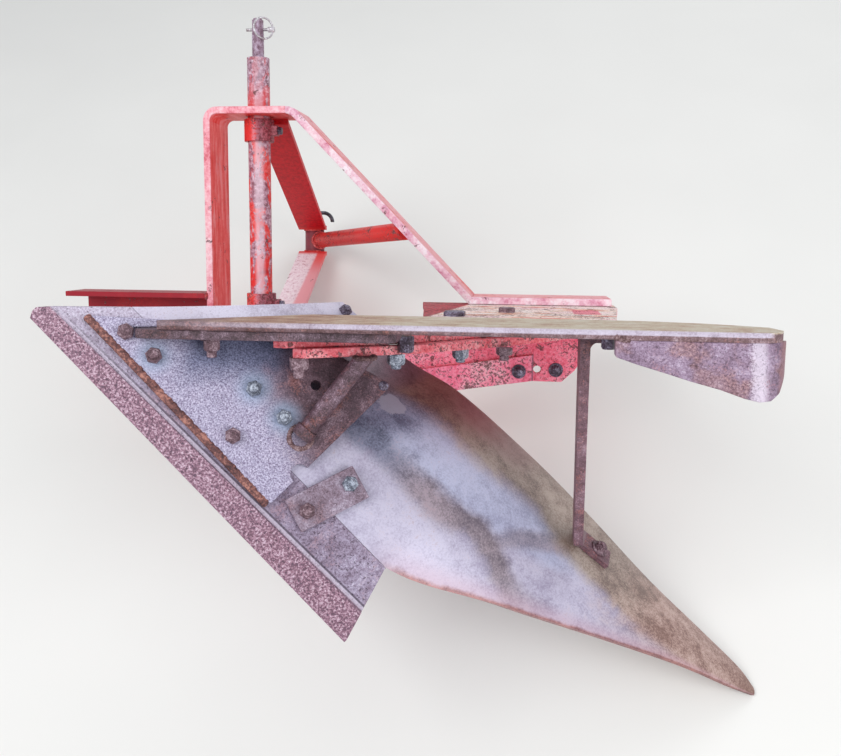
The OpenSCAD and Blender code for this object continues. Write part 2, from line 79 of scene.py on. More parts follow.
# The frame bar and what crosses it
FRAME_Z = 532
BAR_W = 101.6
BAR_T = 12.7
FRAME_LEFT = -347
TUBE_X = 131
TUBE_Z = FRAME_Z + BAR_W / 2 + 2
TUBE_R = 21.1
HITCH_Y = -101
SHOULDER = 341
MAST_HALF = 26
TOP_PIN_Z = 1025

# Directions in the plough's frame
ACROSS = np.array([0.0, 1.0, 0.0])
UPRIGHT = np.array([0.0, 0.0, 1.0])

# How far a small piece sinks into the face that it stands on
SUNK = 0.2


def laid(points):
    """Points of the plough's frame, turned by its resting pose, shifted, and given in metres."""
    return (np.asarray(points, float) @ TURN.T + SHIFT) / 1000


def unit(v):
    """Each vector of an array divided by its length."""
    v = np.asarray(v, float)
    return v / np.linalg.norm(v, axis=-1, keepdims=True)


def slope_axes():
    """The share slope's own axes in the plough's frame: up it, along the cutting edge, and off it.

    The edge runs at 45 degrees to the plough's length, so each has as much of x as of y.
    """
    half = math.sqrt(0.5)
    up = [math.cos(SLOPE) * half, -math.cos(SLOPE) * half, math.sin(SLOPE)]
    off = [-math.sin(SLOPE) * half, math.sin(SLOPE) * half, math.cos(SLOPE)]
    return np.array([up, [half, half, 0], off])


def on_slope(w, e, off):
    """The point w up the slope, e along the cutting edge and off above it."""
    return np.array([w, e, off], float) @ slope_axes()


def quads(rows, columns):
    """Corner numbers of a grid's faces, the last column joined to the first."""
    i = np.arange(rows - 1)[:, None]
    j = np.arange(columns)[None, :]
    k = (j + 1) % columns
    corners = [i * columns + j, i * columns + k, (i + 1) * columns + k, (i + 1) * columns + j]
    return np.stack(corners, -1).reshape(-1, 4)


def piece(name, grids, finish, replaces=(), sharp=35, maps=None):
    """One object from one or more grids of points whose columns run round and close on themselves.

    Doubled points at poles and seams are merged and the normals turned outwards. Edges sharper
    than the given angle stay sharp. maps holds a pair of numbers for each point of the first grid.
    """
    count = np.cumsum([0] + [g.shape[0] * g.shape[1] for g in grids])
    faces = np.concatenate([quads(*g.shape[:2]) + c for g, c in zip(grids, count)])
    points = laid(np.concatenate([g.reshape(-1, 3) for g in grids]))
    mesh = bpy.data.meshes.new(name)
    mesh.from_pydata(points.tolist(), [], faces.tolist())
    if maps is not None:
        layer = mesh.uv_layers.new(name="along_and_up")
        layer.data.foreach_set("uv", maps.reshape(-1, 2)[faces.ravel()].ravel())
    solid = bmesh.new()
    solid.from_mesh(mesh)
    bmesh.ops.remove_doubles(solid, verts=solid.verts, dist=2e-6)
    bmesh.ops.recalc_face_normals(solid, faces=solid.faces)
    solid.to_mesh(mesh)
    solid.free()
    mesh.shade_smooth()
    mesh.set_sharp_from_angle(angle=math.radians(sharp))
    made = bpy.data.objects.new(name, mesh)
    bpy.context.scene.collection.objects.link(made)
    made.data.materials.append(finish)
    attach(made, "plough")
    if replaces:
        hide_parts(*replaces)


def axes_at(axis, twist=0.0):
    """Three axes whose last runs along axis; the first two are turned about it by twist, in degrees."""
    z = unit(axis)
    x = unit(np.cross([0.31, 0.17, 0.93], z))
    y = np.cross(z, x)
    c, s = math.cos(math.radians(twist)), math.sin(math.radians(twist))
    return np.array([c * x + s * y, c * y - s * x, z])


def turned(profile, at, axis, sides=32, flats=None, twist=0.0):
    """A profile of (height, radius) pairs spun about an axis through at.

    Where flats is the width across a hexagon's flats, the radius at an angle is the smaller of
    the profile's and the hexagon's, which is half that width over the cosine of the angle
    from the middle of the nearest flat.
    """
    height, radius = np.array(profile, float).T
    angle = np.arange(sides) * 2 * math.pi / sides
    r = np.repeat(radius[:, None], sides, 1)
    if flats:
        from_flat = (angle + math.pi / 6) % (math.pi / 3) - math.pi / 6
        r = np.minimum(r, flats / 2 / np.cos(from_flat))
    local = np.stack([r * np.cos(angle), r * np.sin(angle), np.repeat(height[:, None], sides, 1)], -1)
    return np.asarray(at, float) + local @ axes_at(axis, twist)


def smooth(points, s):
    """Places at s on the curve through an array of points, where s counts the points from 0.

    Each span is a cubic, and at each point the curve runs along the chord of its two neighbours.
    """
    p = np.concatenate([2 * points[:1] - points[1:2], points, 2 * points[-1:] - points[-2:-1]])
    i = np.minimum(len(points) - 2, np.floor(s)).astype(int)
    f = (s - i).reshape(np.shape(s) + (1,) * (points.ndim - 1))
    a, b, c, d = p[i], p[i + 1], p[i + 2], p[i + 3]
    square, cube = 2 * a - 5 * b + 4 * c - d, 3 * b - a - 3 * c + d
    return 0.5 * (2 * b + f * (c - a) + f**2 * square + f**3 * cube)


# Rings that close the end of a carried ring, from its tip inwards, in parts of the radius
DOME_LIFT = np.array([1.0, 0.72]) * 0.55
DOME_SIZE = np.array([0.0, 0.7])


def carried(path, radius, sides, flatten, about):
    """A ring carried along a path, square to it.

    Each ring lies on two axes: the path's direction crossed with about, and that crossed again
    with the direction. flatten scales the second. Both ends are closed by a dome: two more rings,
    which move outwards by DOME_LIFT and shrink to DOME_SIZE of the radius.
    """
    path = np.asarray(path, float)
    radius = np.broadcast_to(np.asarray(radius, float), len(path)).copy()
    ahead = unit(np.gradient(path, axis=0))
    side = unit(np.cross(ahead, about))
    over = np.cross(side, ahead)
    start = path[0] - ahead[0] * radius[0] * DOME_LIFT[:, None]
    end = path[-1] + ahead[-1] * radius[-1] * DOME_LIFT[::-1, None]
    path = np.concatenate([start, path, end])
    radius = np.concatenate([radius[0] * DOME_SIZE, radius, radius[-1] * DOME_SIZE[::-1]])
    side = np.concatenate([side[[0, 0]], side, side[[-1, -1]]])
    over = np.concatenate([over[[0, 0]], over, over[[-1, -1]]]) * flatten
    angle = (np.arange(sides) * 2 * math.pi / sides)[None, :, None]
    ring = side[:, None] * np.cos(angle) + over[:, None] * np.sin(angle)
    return path[:, None] + ring * radius[:, None, None]


def lengths(path):
    """How long each span of a path is."""
    return np.linalg.norm(np.diff(path, axis=0), axis=1)


def weld_bead(path, width, about):
    """A bead of weld: a flattened ring carried along a smooth path.

    Its radius is half the width, swollen by a sine that comes round once in each drop of the
    path's length, and by a slower one.
    """
    drop = 3.2
    steps = 4 * int(lengths(path).sum() / drop) + 5
    line = smooth(path, np.linspace(0, len(path) - 1, steps))
    far = np.concatenate([[0], np.cumsum(lengths(line))])
    swell = 0.13 * np.sin(far * 2 * math.pi / drop) + 0.08 * np.sin(far * 0.37 + width)
    return carried(line, width / 2 * (1 + swell), 10, 0.8, about)


class Socket:
    """An output of a node tree that takes plain arithmetic."""

    def __init__(self, tree, out):
        self.tree = tree
        self.out = out

    def node(self, kind, settings=None, inputs=None, out=0):
        """Adds a node, sets it up, fills or links its inputs and returns one of its outputs."""
        made = self.tree.nodes.new("ShaderNode" + kind)
        for name, value in (settings or {}).items():
            if name == "stops":
                set_stops(made.color_ramp, value)
            else:
                setattr(made, name, value)
        for slot, value in (inputs or {}).items():
            socket = made.inputs[slot]
            if isinstance(value, Socket):
                self.tree.links.new(value.out, socket)
            else:
                socket.default_value = shade(value) if socket.type == "RGBA" else value
        return Socket(self.tree, made.outputs[out])

    def math(self, operation, *values):
        """A math node on the values, this socket among them."""
        return self.node("Math", {"operation": operation}, dict(enumerate(values)))

    def __add__(self, other):
        return self.math("ADD", self, other)

    __radd__ = __add__

    def __sub__(self, other):
        return self.math("SUBTRACT", self, other)

    def __rsub__(self, other):
        return self.math("SUBTRACT", other, self)

    def __mul__(self, other):
        return self.math("MULTIPLY", self, other)

    __rmul__ = __mul__

    def __abs__(self):
        return self.math("ABSOLUTE", self)

    def most(self, other):
        """The larger of the two."""
        return self.math("MAXIMUM", self, other)

    def least(self, other):
        """The smaller of the two."""
        return self.math("MINIMUM", self, other)

    def step(self, low, high):
        """A smooth rise from 0 where the value is low to 1 where it is high; high may be the smaller."""
        if high < low:
            return 1 - self.step(high, low)
        return self.node("MapRange", {"interpolation_type": "SMOOTHSTEP"}, {0: self, 1: low, 2: high})

    def band(self, middle, half, soft):
        """1 within half of the middle, falling to 0 over soft."""
        return abs(self - middle).step(half + soft, half)

    def split(self):
        """The three numbers of a vector."""
        made = self.node("SeparateXYZ", None, {0: self})
        return [Socket(self.tree, out) for out in made.out.node.outputs]

    def blend(self, a, b):
        """The colour a where the value is 0 and b where it is 1."""
        return self.node("Mix", {"data_type": "RGBA"}, {0: self, 6: a, 7: b}, 2)

    def ramp(self, stops):
        """Colours read off a ramp at the value."""
        return self.node("ValToRGB", {"stops": stops}, {0: self})


def set_stops(ramp, stops):
    """Gives a colour ramp its stops of (place, colour)."""
    while len(ramp.elements) < len(stops):
        ramp.elements.new(1)
    for element, (place, colour) in zip(ramp.elements, stops):
        element.position = place
        element.color = shade(colour)


def shade(colour):
    """A colour as it shows on screen, from 0 to 255, turned into the linear one that a shader takes.

    Each part of it, over 255, is divided by 12.92 where it is small, and otherwise raised to 2.4.
    """
    v = np.array(colour) / 255
    v = np.where(v <= 0.04045, v / 12.92, ((v + 0.055) / 1.055) ** 2.4)
    return (*v.tolist(), 1.0)


class Finish:
    """A material under construction, with its place in the plough's frame at hand."""

    def __init__(self, name):
        self.material = bpy.data.materials.new(name)
        self.material.use_nodes = True
        tree = self.material.node_tree
        self.shader = tree.nodes["Principled BSDF"]
        self.start = Socket(tree, self.shader.outputs[0])
        coordinates = self.start.node("TexCoord", out=3)
        settings = {"vector_type": "TEXTURE"}
        turn = {0: coordinates, "Location": tuple(SHIFT / 1000), "Rotation": (ROLL, PITCH, 0)}
        self.place = self.start.node("Mapping", settings, turn)
        self.x, self.y, self.z = [axis * 1000 for axis in self.place.split()]

    def noise(self, size, detail=3.0, rough=0.55, distort=0.0, stretch=(1, 1, 1), at=0.0):
        """Smooth noise from 0 to 1 whose lumps are size mm wide, and stretch times longer on each axis.

        at moves the finish to another part of the noise.
        """
        scale = tuple(1000 / size / s for s in stretch)
        inputs = {0: self.place, "Location": (at, at, at), "Scale": scale}
        inputs = {"Vector": self.start.node("Mapping", None, inputs), "Scale": 1.0, "Detail": detail,
                  "Roughness": rough, "Distortion": distort}
        return self.start.node("TexNoise", None, inputs)

    def near(self, point, radius):
        """1 at a point of the plough's frame, falling to 0 at the radius in mm."""
        point = tuple((np.asarray(point, float).ravel() / 1000).tolist())
        away = self.start.node("VectorMath", {"operation": "DISTANCE"}, {0: self.place, 1: point}, 1)
        return away.step(radius / 1000, 0.0)

    def along_up(self):
        """The two numbers of the piece's own map."""
        return self.start.node("UVMap", {"uv_map": "along_and_up"}).split()[:2]

    def done(self, colour, roughness, metallic=0.0, height=None, depth=0.4, specular=0.5):
        """Feeds the shader; height is raised by depth in mm."""
        feeds = {"Base Color": colour, "Roughness": roughness, "Metallic": metallic}
        if height is not None:
            inputs = {"Height": height, "Strength": 1.0, "Distance": depth / 1000}
            feeds["Normal"] = self.start.node("Bump", None, inputs)
        self.shader.inputs["Specular IOR Level"].default_value = specular
        for name, value in feeds.items():
            if isinstance(value, Socket):
                self.start.tree.links.new(value.out, self.shader.inputs[name])
            else:
                self.shader.inputs[name].default_value = value
        return self.material


# Shades that several finishes share
RED = (220, 54, 52)
RED_DEEP = (166, 26, 38)
RED_FADED = (238, 130, 128)
PINK = (240, 192, 200)
CREAM = (240, 224, 216)
RUST_DARK = (66, 42, 48)
RUST_BROWN = (118, 78, 74)
RUST_ORANGE = (176, 96, 66)
PATINA = (146, 122, 138)
STEEL_BLUE = (150, 172, 200)


def worn_paint(name, tone=None, fade=0.4, chip=0.5, at=0.0, deep=0.3, size=1.0, gloss=0.25):
    """Red paint, faded in clouds and streaks, and chipped to rust in specks and patches.

    fade and chip say how much of it is, and deep how much of it is dark. tone may lay other
    colours over the paint before it is chipped.
    """
    f = Finish(name)
    cloud = f.noise(110 * size, 4, 0.6, 0.4, at=at)
    fine = f.noise(8 * size, 5, 0.7, at=at)
    grain = f.noise(2.4, 4, 0.7, at=at)
    streak = f.noise(9, 4, 0.7, 0.3, (1, 1, 9), at=at + 3)
    faded = (cloud * 0.5 + streak * 0.4 + fine * 0.25).step(0.74 - 0.35 * fade, 0.84 - 0.25 * fade)
    colour = (faded * 0.85).blend(RED, RED_FADED)
    colour = cloud.step(0.3 + 0.4 * deep, 0.2 + 0.4 * deep).blend(colour, RED_DEEP)
    if tone:
        colour = tone(f, colour, cloud, fine)
    specks = f.noise(3.2, 4, 0.7, at=at + 5) * 0.7 + cloud * 0.3
    specks = specks.step(0.66 - 0.1 * chip, 0.69 - 0.1 * chip)
    patches = f.noise(26 * size, 5, 0.7, 0.5, at=at + 7) + grain * 0.12
    patches = patches.step(0.72 - 0.06 * chip, 0.74 - 0.06 * chip)
    bare = specks.most(patches)
    rust = grain.ramp([(0.36, RUST_DARK), (0.52, RUST_BROWN), (0.68, PATINA)])
    colour = (bare * 0.9).blend(colour, rust)
    rough = 0.36 + bare * 0.35 + grain * 0.16
    height = fine * 0.3 + grain * 0.25 - bare * 0.9
    return f.done(colour, rough, 0.0, height, 0.35, specular=gloss)


def edge_highlight(f, colour, cloud, fine):
    """The bar's lower edge, painted pale pink and cream as a highlight where that narrow face catches
    the light.
    """
    # low: the lower edge face, where the painted highlight goes
    low = f.z.step(FRAME_Z + 1.8, FRAME_Z + 0.5)
    pale = (cloud * 0.5 + fine * 0.5).ramp([(0.38, (204, 100, 116)), (0.46, (230, 152, 166)),
                                            (0.58, (242, 204, 212))])
    return (low * 0.92).blend(colour, pale)


def frame_paint():
    """Salmon red with bright streaks down the inner face of the front leg, its paleness partly a painted
    highlight on that face.
    """

    def streaked(f, colour, cloud, fine):
        streak = f.noise(13, 4, 0.6, 0.3, (1, 7, 1), at=4)
        salmon = (streak * 0.8 + fine * 0.2).ramp([(0.38, (222, 54, 48)), (0.5, (236, 92, 90)),
                                                   (0.62, (240, 148, 150))])
        # The inner face's salmon is partly painted light: streaked paint made paler to stand for the
        # light on that face.
        inner = f.x.step(TUBE_X - 60, TUBE_X - 64)
        return edge_highlight(f, (inner * 0.85).blend(colour, salmon), cloud, fine)

    return worn_paint("frame_red_paint", streaked, 0.6, 0.3, 0.0, 0.25)


def rear_frame_paint():
    """Bleached, most of all on the lower edge, where a painted highlight pales it further, with a dark
    red line along that edge.
    """

    def bleached(f, colour, cloud, fine):
        streak = f.noise(11, 4, 0.65, 0.4, (4, 4, 1), at=6) * 0.6 + fine * 0.4
        pale = streak.ramp([(0.36, (188, 96, 118)), (0.43, (214, 158, 182)), (0.5, (232, 198, 212)),
                            (0.58, (240, 230, 238))])
        # edge: the lower edge, painted paler as a highlight on top of the bleaching
        edge = f.z.step(FRAME_Z + 5, FRAME_Z + 1)
        kept = cloud.step(0.5, 0.36) * 0.3 * (1 - edge * 0.6)
        colour = (0.38 + edge * 0.55 - kept).blend(colour, pale)
        line = f.z.band(FRAME_Z + 2.6, 0.6, 1.6) * fine.step(0.34, 0.5)
        return (line * 0.7).blend(colour, (156, 70, 84))

    return worn_paint("rear_frame_red_paint", bleached, 0.9, 0.4, 5.0, 0.0)


def arm_paint():
    """Dark crimson, with little wear."""

    def crimson(f, colour, cloud, fine):
        return (0.45 + fine * 0.7).least(0.85).blend(colour, (148, 20, 40))

    return worn_paint("coulter_arm_red_paint", crimson, 0.2, 0.5, 9.0, 0.75)


def bracket_paint():
    """Cream and peach on the bracket's left face with a pink lug, crimson at its front as painted shade,
    else pink, a painted highlight on the lit flat leg.
    """

    def faces(f, colour, cloud, fine):
        left = f.y.step(13.5, 12.4)
        streak = f.noise(24, 5, 0.7, 0.5, (4, 1, 1), at=41)
        bleached = streak.ramp([(0.36, (206, 92, 100)), (0.42, (240, 186, 152)), (0.48, CREAM),
                                (0.56, (244, 234, 230)), (0.62, PINK)])
        pink = (fine * 0.5 + cloud * 0.5).ramp([(0.4, (226, 88, 116)), (0.5, (250, 138, 164)),
                                            (0.6, (250, 170, 190))])
        # Pale pink on the flat leg: painted light on the face that looks towards the light.
        colour = (f.z.step(FRAME_Z - 6, FRAME_Z - 10) * 0.85).blend(colour, pink)
        lug = f.x.band(743, 14, 16) * f.z.band(402, 32, 24) + (cloud + fine) * 0.5 - 0.5
        bleached = (lug.step(0.35, 0.6) * 0.8).blend(bleached, (226, 84, 116))
        colour = (left * 0.95).blend(colour, bleached)
        # The front is painted dark crimson: painted shade.
        front = (f.x - f.z * 0.18).step(449, 441) * f.y.step(27, 24)
        return (front * 0.92).blend(colour, fine.step(0.4, 0.6).blend((116, 0, 28), (206, 30, 66)))

    return worn_paint("bracket_red_paint", faces, 0.5, 1.1, 39.0, 0.2, 0.7, 0.08)


def mast_paint():
    """Crimson on the left arm; the right arm is pale and speckled over its front half."""

    def bleached(f, colour, cloud, fine):
        right = f.y.step(HITCH_Y + MAST_HALF + 1, HITCH_Y + MAST_HALF + 9)
        front = right * (f.x + f.y * 0.11).step(TUBE_X + 10, TUBE_X + 2)
        flecked = fine * 0.6 + f.noise(4, 4, 0.7, at=43) * 0.4
        flecked = flecked.ramp([(0.38, (176, 120, 132)), (0.45, (232, 212, 222)),
                                (0.6, (246, 238, 242))])
        side = f.z.step(TOP_PIN_Z - 40, TOP_PIN_Z - 120).blend((240, 106, 104), (238, 178, 186))
        colour = (right * 0.85).blend(colour, side)
        colour = (front * 0.95).blend(colour, flecked)
        left = f.y.step(HITCH_Y - MAST_HALF + 1, HITCH_Y - MAST_HALF - 9)
        return (left * 0.9).blend(colour, fine.step(0.3, 0.6).blend((164, 12, 28), (206, 24, 38)))

    return worn_paint("mast_red_paint", bleached, 0.3, 0.2, 12.0, 0.2)


def mast_brace_paint():
    """Red with many small chips."""
    return worn_paint("mast_brace_red_paint", None, 0.35, 1.05, 17.0, 0.1, 0.7)


def spacer_paint():
    """Paint stained purple by old grease."""

    def stained(f, colour, cloud, fine):
        return (fine * 0.4 + 0.6).blend(colour, (92, 60, 74))

    return worn_paint("spacer_red_paint", stained, 0.2, 0.8, 15.0)


def round_tube(f):
    """How far round the cross tube a place lies from the line that faces the light, in mm."""
    return f.x - TUBE_X + (f.z - TUBE_Z) * 0.4


def tube_paint():
    """Patches of lavender and purple where the paint has gone, and bare hitch pins at both ends."""

    def rubbed(f, colour, cloud, fine):
        patch = f.noise(30, 5, 0.7, 0.6, (1, 2.2, 1), at=47)
        gone = (patch + fine * 0.15).step(0.53, 0.6)
        bare = fine.ramp([(0.36, (104, 70, 84)), (0.5, (166, 132, 150)), (0.64, (216, 198, 212))])
        colour = (gone * 0.9).blend(colour, bare)
        glare = round_tube(f).band(-3, 4, 9) * f.noise(18, 4, 0.7, 0.3, (1, 4, 1), at=48)
        colour = (glare * 1.1).least(0.85).blend(colour, (224, 200, 212))
        beyond = abs(f.y - HITCH_Y)
        colour = ((beyond + fine * 60).step(262, 320) * 0.5).blend(colour, bare)
        pin = fine.ramp([(0.36, (108, 80, 94)), (0.5, (150, 124, 142)), (0.64, (188, 170, 190))])
        return beyond.step(SHOULDER - 0.4, SHOULDER + 0.4).blend(colour, pin)

    return worn_paint("tube_red_paint", rubbed, 0.55, 0.55, 21.0, 0.2)


def collar_paint():
    """A pale glare along the collar's front, and rust stains behind it."""

    def stained(f, colour, cloud, fine):
        pale = round_tube(f).band(-6, 5, 10) * fine.step(0.36, 0.56)
        colour = (pale * 0.7).blend(colour, (220, 150, 166))
        stain = (f.x + fine * 26).step(TUBE_X + 8, TUBE_X + 22)
        return (stain * 0.85).blend(colour, fine.step(0.42, 0.6).blend((84, 46, 60), (160, 96, 110)))

    return worn_paint("collar_red_paint", stained, 0.35, 1.0, 25.0, 0.35, 0.6)


def standard_paint():
    """Pink where the sole side faces the light, a painted highlight; crimson on the sides."""

    def faces(f, colour, cloud, fine):
        pink = (fine * 0.5 + cloud * 0.5).ramp([(0.4, (216, 84, 98)), (0.5, (242, 142, 154)),
                                                (0.6, (248, 194, 196))])
        # Pink towards the sole: painted light where that side faces the light.
        return (f.z.step(525, 300) * 0.8).blend(colour, pink)

    return worn_paint("standard_red_paint", faces, 0.6, 1.25, 33.0, 0.2, 0.6)


def right_brace_paint():
    """Pink on the underside, a painted highlight where it faces the light, and bare purple iron at the
    rear end.
    """

    def faces(f, colour, cloud, fine):
        pink = (fine * 0.4 + cloud * 0.6).ramp([(0.4, (228, 92, 122)), (0.5, (250, 142, 172)),
                                                (0.62, (252, 200, 214))])
        # Pink on the underside: painted light on the face that looks towards the light.
        colour = (f.z.step(FRAME_Z - 18, FRAME_Z - 20.5) * 0.9).blend(colour, pink)
        return (f.x.step(655, 659) * 0.8).blend(colour, (120, 84, 104))

    return worn_paint("right_brace_red_paint", faces, 0.4, 1.2, 35.0, 0.1, 0.6)


def rusted(name, shades, size=1.0, metal=0.15, pitted=0.5, at=0.0, tint=None, rough=0.55, orange=0.5):
    """Rusted iron: four shades mixed by clouds, patches and grain, pitted all over.

    shades run from the dark of the pits to the bright of the speckles. tint may lay other
    colours over them.
    """
    f = Finish(name)
    cloud = f.noise(95 * size, 4, 0.6, 0.5, at=at)
    patch = f.noise(20 * size, 5, 0.65, 0.3, at=at + 2)
    grain = f.noise(3.0 * size, 4, 0.75, 0.15, at=at + 4)
    fine = f.noise(1.8, 3, 0.7, at=at + 5)
    mixed = cloud * 0.22 + patch * 0.28 + grain * 0.34 + fine * 0.16
    colour = mixed.ramp([(0.39, shades[0]), (0.465, shades[1]), (0.53, shades[2]), (0.6, shades[3])])
    spots = (f.noise(48 * size, 4, 0.7, 0.6, at=at + 6) * 0.5 + grain * 0.5).step(0.53, 0.6)
    colour = (spots * orange).blend(colour, RUST_ORANGE)
    dark = f.noise(3.2 * size, 4, 0.7, 0.1, at=at + 8).step(0.42, 0.34)
    colour = (dark * 0.75 * pitted).blend(colour, RUST_DARK)
    if tint:
        colour = tint(f, colour, mixed, grain)
    height = grain * 0.8 + patch * 0.5 + fine * 0.2 - dark * pitted * 1.2
    return f.done(colour, rough + grain * 0.2 - mixed * 0.08, metal, height, 0.8 * pitted + 0.2)


def up_slope(f):
    """How far a place lies up the share slope."""
    return (f.x - f.y) * (math.cos(SLOPE) / math.sqrt(2)) + f.z * math.sin(SLOPE)


# How much wider the share's cutting band grows with each mm of x and y along the edge
BAND_FLARE = 0.0177


def share_rust():
    """Lavender-brown rust under a painted glare; the crease has a painted highlight and a painted dark
    line of shade, and below it the cutting band is redder and deeply pitted.
    """

    def banded(f, colour, mixed, grain):
        across = up_slope(f) - (f.x + f.y) * BAND_FLARE
        worms = f.noise(3.1, 4, 0.75, 0.15, at=3)
        pitted = worms.ramp([(0.36, (60, 34, 50)), (0.45, (114, 76, 94)), (0.53, (164, 122, 140)),
                             (0.63, (214, 190, 206))])
        band = across.step(34, 31)
        pitted = (worms * 0.4 + mixed * 0.6).step(0.2, 0.5).blend(colour, pitted)
        colour = (band * 0.9).blend(colour, pitted)
        # A painted highlight along the crease, and beside it a painted line of shade.
        colour = (across.band(31.5, 1.4, 2.2) * 0.75).blend(colour, (204, 196, 214))
        colour = (across.band(35.2, 0.8, 1.0) * 0.8).blend(colour, (70, 58, 74))
        glare = (f.y.step(150, -20) * 0.55 + f.y.step(5, -5) * 0.3) * (1 - band)
        return glare.blend(colour, grain.ramp([(0.4, (166, 152, 172)), (0.6, (212, 206, 224))]))

    shades = ((90, 72, 92), (132, 116, 138), (158, 146, 170), (204, 197, 218))
    return rusted("share_rust", shades, 1.0, 0.1, 0.7, 0.0, banded, 0.42, 0.2)


def frog_rust():
    """Lavender glare towards the point, brown towards the moldboard, blue steel round some nuts."""

    def glared(f, colour, mixed, grain):
        glare = (f.x - f.y * 0.5 + mixed * 60).step(320, 252)
        pale = grain.ramp([(0.38, (124, 110, 140)), (0.5, (174, 168, 198)), (0.6, (216, 212, 236))])
        colour = (glare * 0.85).blend(colour, pale)
        shadow = (f.y + mixed * 50).step(128, 76) * f.x.step(170, 215) * f.x.step(345, 300)
        dusk = grain.ramp([(0.4, (50, 56, 86)), (0.58, (104, 112, 146))])
        colour = (shadow * 0.85).blend(colour, dusk)
        for name, w, e, *_ in FROG_NUTS:
            if name in RUBBED_NUTS:
                near = f.near(on_slope(w, e, -SHARE_UNDER - FROG_T), 34)
                colour = (near * (grain + 0.25)).least(0.8).blend(colour, STEEL_BLUE)
        return colour

    shades = ((44, 28, 36), (70, 47, 58), (94, 68, 80), (140, 116, 129))
    return rusted("frog_rust", shades, 0.7, 0.1, 0.5, 8.0, glared, 0.42, 0.25)


def strap_rust():
    """Even lavender-brown rust."""
    shades = ((82, 62, 74), (126, 106, 122), (150, 135, 153), (192, 181, 200))
    return rusted("strap_rust", shades, 0.8, 0.1, 0.5, 10.0, None, 0.42, 0.15)


def web_rust():
    """Dark, deeply pitted rust."""
    shades = ((38, 26, 32), (72, 52, 60), (104, 82, 94), (156, 134, 148))
    return rusted("web_rust", shades, 0.6, 0.05, 0.8, 14.0, None, 0.5, 0.15)


def rod_rust():
    """Dark rust with bright specks."""
    shades = ((50, 32, 40), (84, 60, 70), (118, 92, 106), (180, 158, 174))
    return rusted("rod_rust", shades, 0.6, 0.05, 0.7, 19.0, None, 0.48, 0.3)


def landside_rust():
    """Olive and orange on the worn outer face, lavender along the rounded sole edge as a painted
    highlight.
    """

    def sole(f, colour, mixed, grain):
        along = mixed * 0.65 + f.noise(22, 5, 0.7, 0.4, (2.6, 1, 1)) * 0.35
        along = along - f.x.step(560, 300) * 0.07
        olive = along.ramp([(0.38, (132, 88, 68)), (0.46, (182, 152, 128)), (0.52, (198, 187, 163)),
                            (0.6, (208, 199, 196))])
        colour = (f.y.step(2.6, 0.4) * f.x.step(205, 290) * 0.92).blend(colour, olive)
        rear = f.x.step(735, 760) * f.y.step(5, 7)
        # edge: the rounded sole edge, where lavender is painted on as a highlight that grows towards the
        # rear.
        edge = f.z.step(5.5, 2.5) * f.y.step(7.2, 5.2) * (1 - rear)
        lavender = mixed.ramp([(0.38, (150, 128, 146)), (0.5, (198, 188, 206)), (0.62, (216, 210, 226))])
        return (edge * (0.15 + f.x.step(190, 430) * 0.75)).blend(colour, lavender)

    shades = ((58, 40, 40), (102, 74, 76), (130, 102, 108), (176, 156, 164))
    return rusted("landside_rust", shades, 0.8, 0.1, 0.5, 25.0, sole, 0.42, 0.4)


def heel_rust():
    """Mottled brown-orange and purple, with a pale band where the rear end curls up: a painted highlight
    on the bend.
    """

    def curled(f, colour, mixed, grain):
        blotch = f.noise(70, 4, 0.6, 0.5, at=34)
        warm = grain.ramp([(0.4, (104, 66, 66)), (0.52, (150, 106, 98)), (0.64, (186, 150, 146))])
        colour = (blotch.step(0.5, 0.62) * 0.5).blend(colour, warm)
        # pale: a painted highlight along the bend where the heel curls up
        pale = (f.x + grain * 26 - f.y * 0.06).band(LAND_END - 24, 3, 11)
        colour = (pale * (0.3 + grain)).least(0.8).blend(colour, (212, 200, 216))
        return ((f.x + grain * 8).step(LAND_END - 8, LAND_END) * 0.6).blend(colour, (140, 92, 92))

    shades = ((78, 58, 74), (124, 100, 122), (154, 132, 156), (196, 182, 204))
    return rusted("heel_rust", shades, 1.1, 0.1, 0.6, 31.0, curled, 0.4, 0.3)


def brace_rust():
    """Brown rust, a little orange."""
    shades = ((60, 40, 48), (98, 68, 78), (126, 94, 106), (176, 150, 164))
    return rusted("brace_rust", shades, 0.7, 0.05, 0.6, 37.0, None, 0.45, 0.35)


def sky_reflection_and_shade(colour, mixed, along, level):
    """Blue along the middle of the front half, a painted reflection of the sky, and dark blue beside the
    frog, a painted shade.
    """
    blue = level.band(0.52, 0.08, 0.12) * along.step(0.56, 0.5)
    pale_blue = mixed.ramp([(0.4, (148, 152, 180)), (0.56, (188, 194, 222))])
    colour = (blue * 0.75).blend(colour, pale_blue)
    start = along.step(0.285, 0.235) * level.step(0.24, 0.34) * along.step(0.08, 0.13)
    dark_blue = mixed.ramp([(0.42, (74, 76, 100)), (0.56, (140, 144, 172))])
    return (start * 0.85).blend(colour, dark_blue)


def dark_reflection_and_shadow(colour, mixed, along, level):
    """A dull brown trough that falls towards the lower edge, a painted reflection of the dark ground,
    and its branch to the brace's foot, a painted shadow of the brace.
    """
    dull = mixed.ramp([(0.4, (88, 76, 84)), (0.5, (134, 118, 124)), (0.58, (168, 152, 162))])
    dark_blue = mixed.ramp([(0.42, (78, 82, 104)), (0.58, (140, 144, 168))])
    dull = along.step(0.34, 0.26).blend(dull, dark_blue)
    bed = 0.36 - along.step(0.4, 0.53) * 0.3
    valley = (level - bed).band(0, 0.02, 0.085) * along.step(0.17, 0.23) * along.step(0.57, 0.46)
    colour = (valley * 0.85).blend(colour, dull)
    # branch: a painted shadow of the brace, running to its foot
    branch = (level - along * 3.1).band(-0.973, 0.03, 0.1)
    branch = branch * along.step(0.42, 0.45) * along.step(0.54, 0.5)
    return (branch * 0.6).blend(colour, dull)


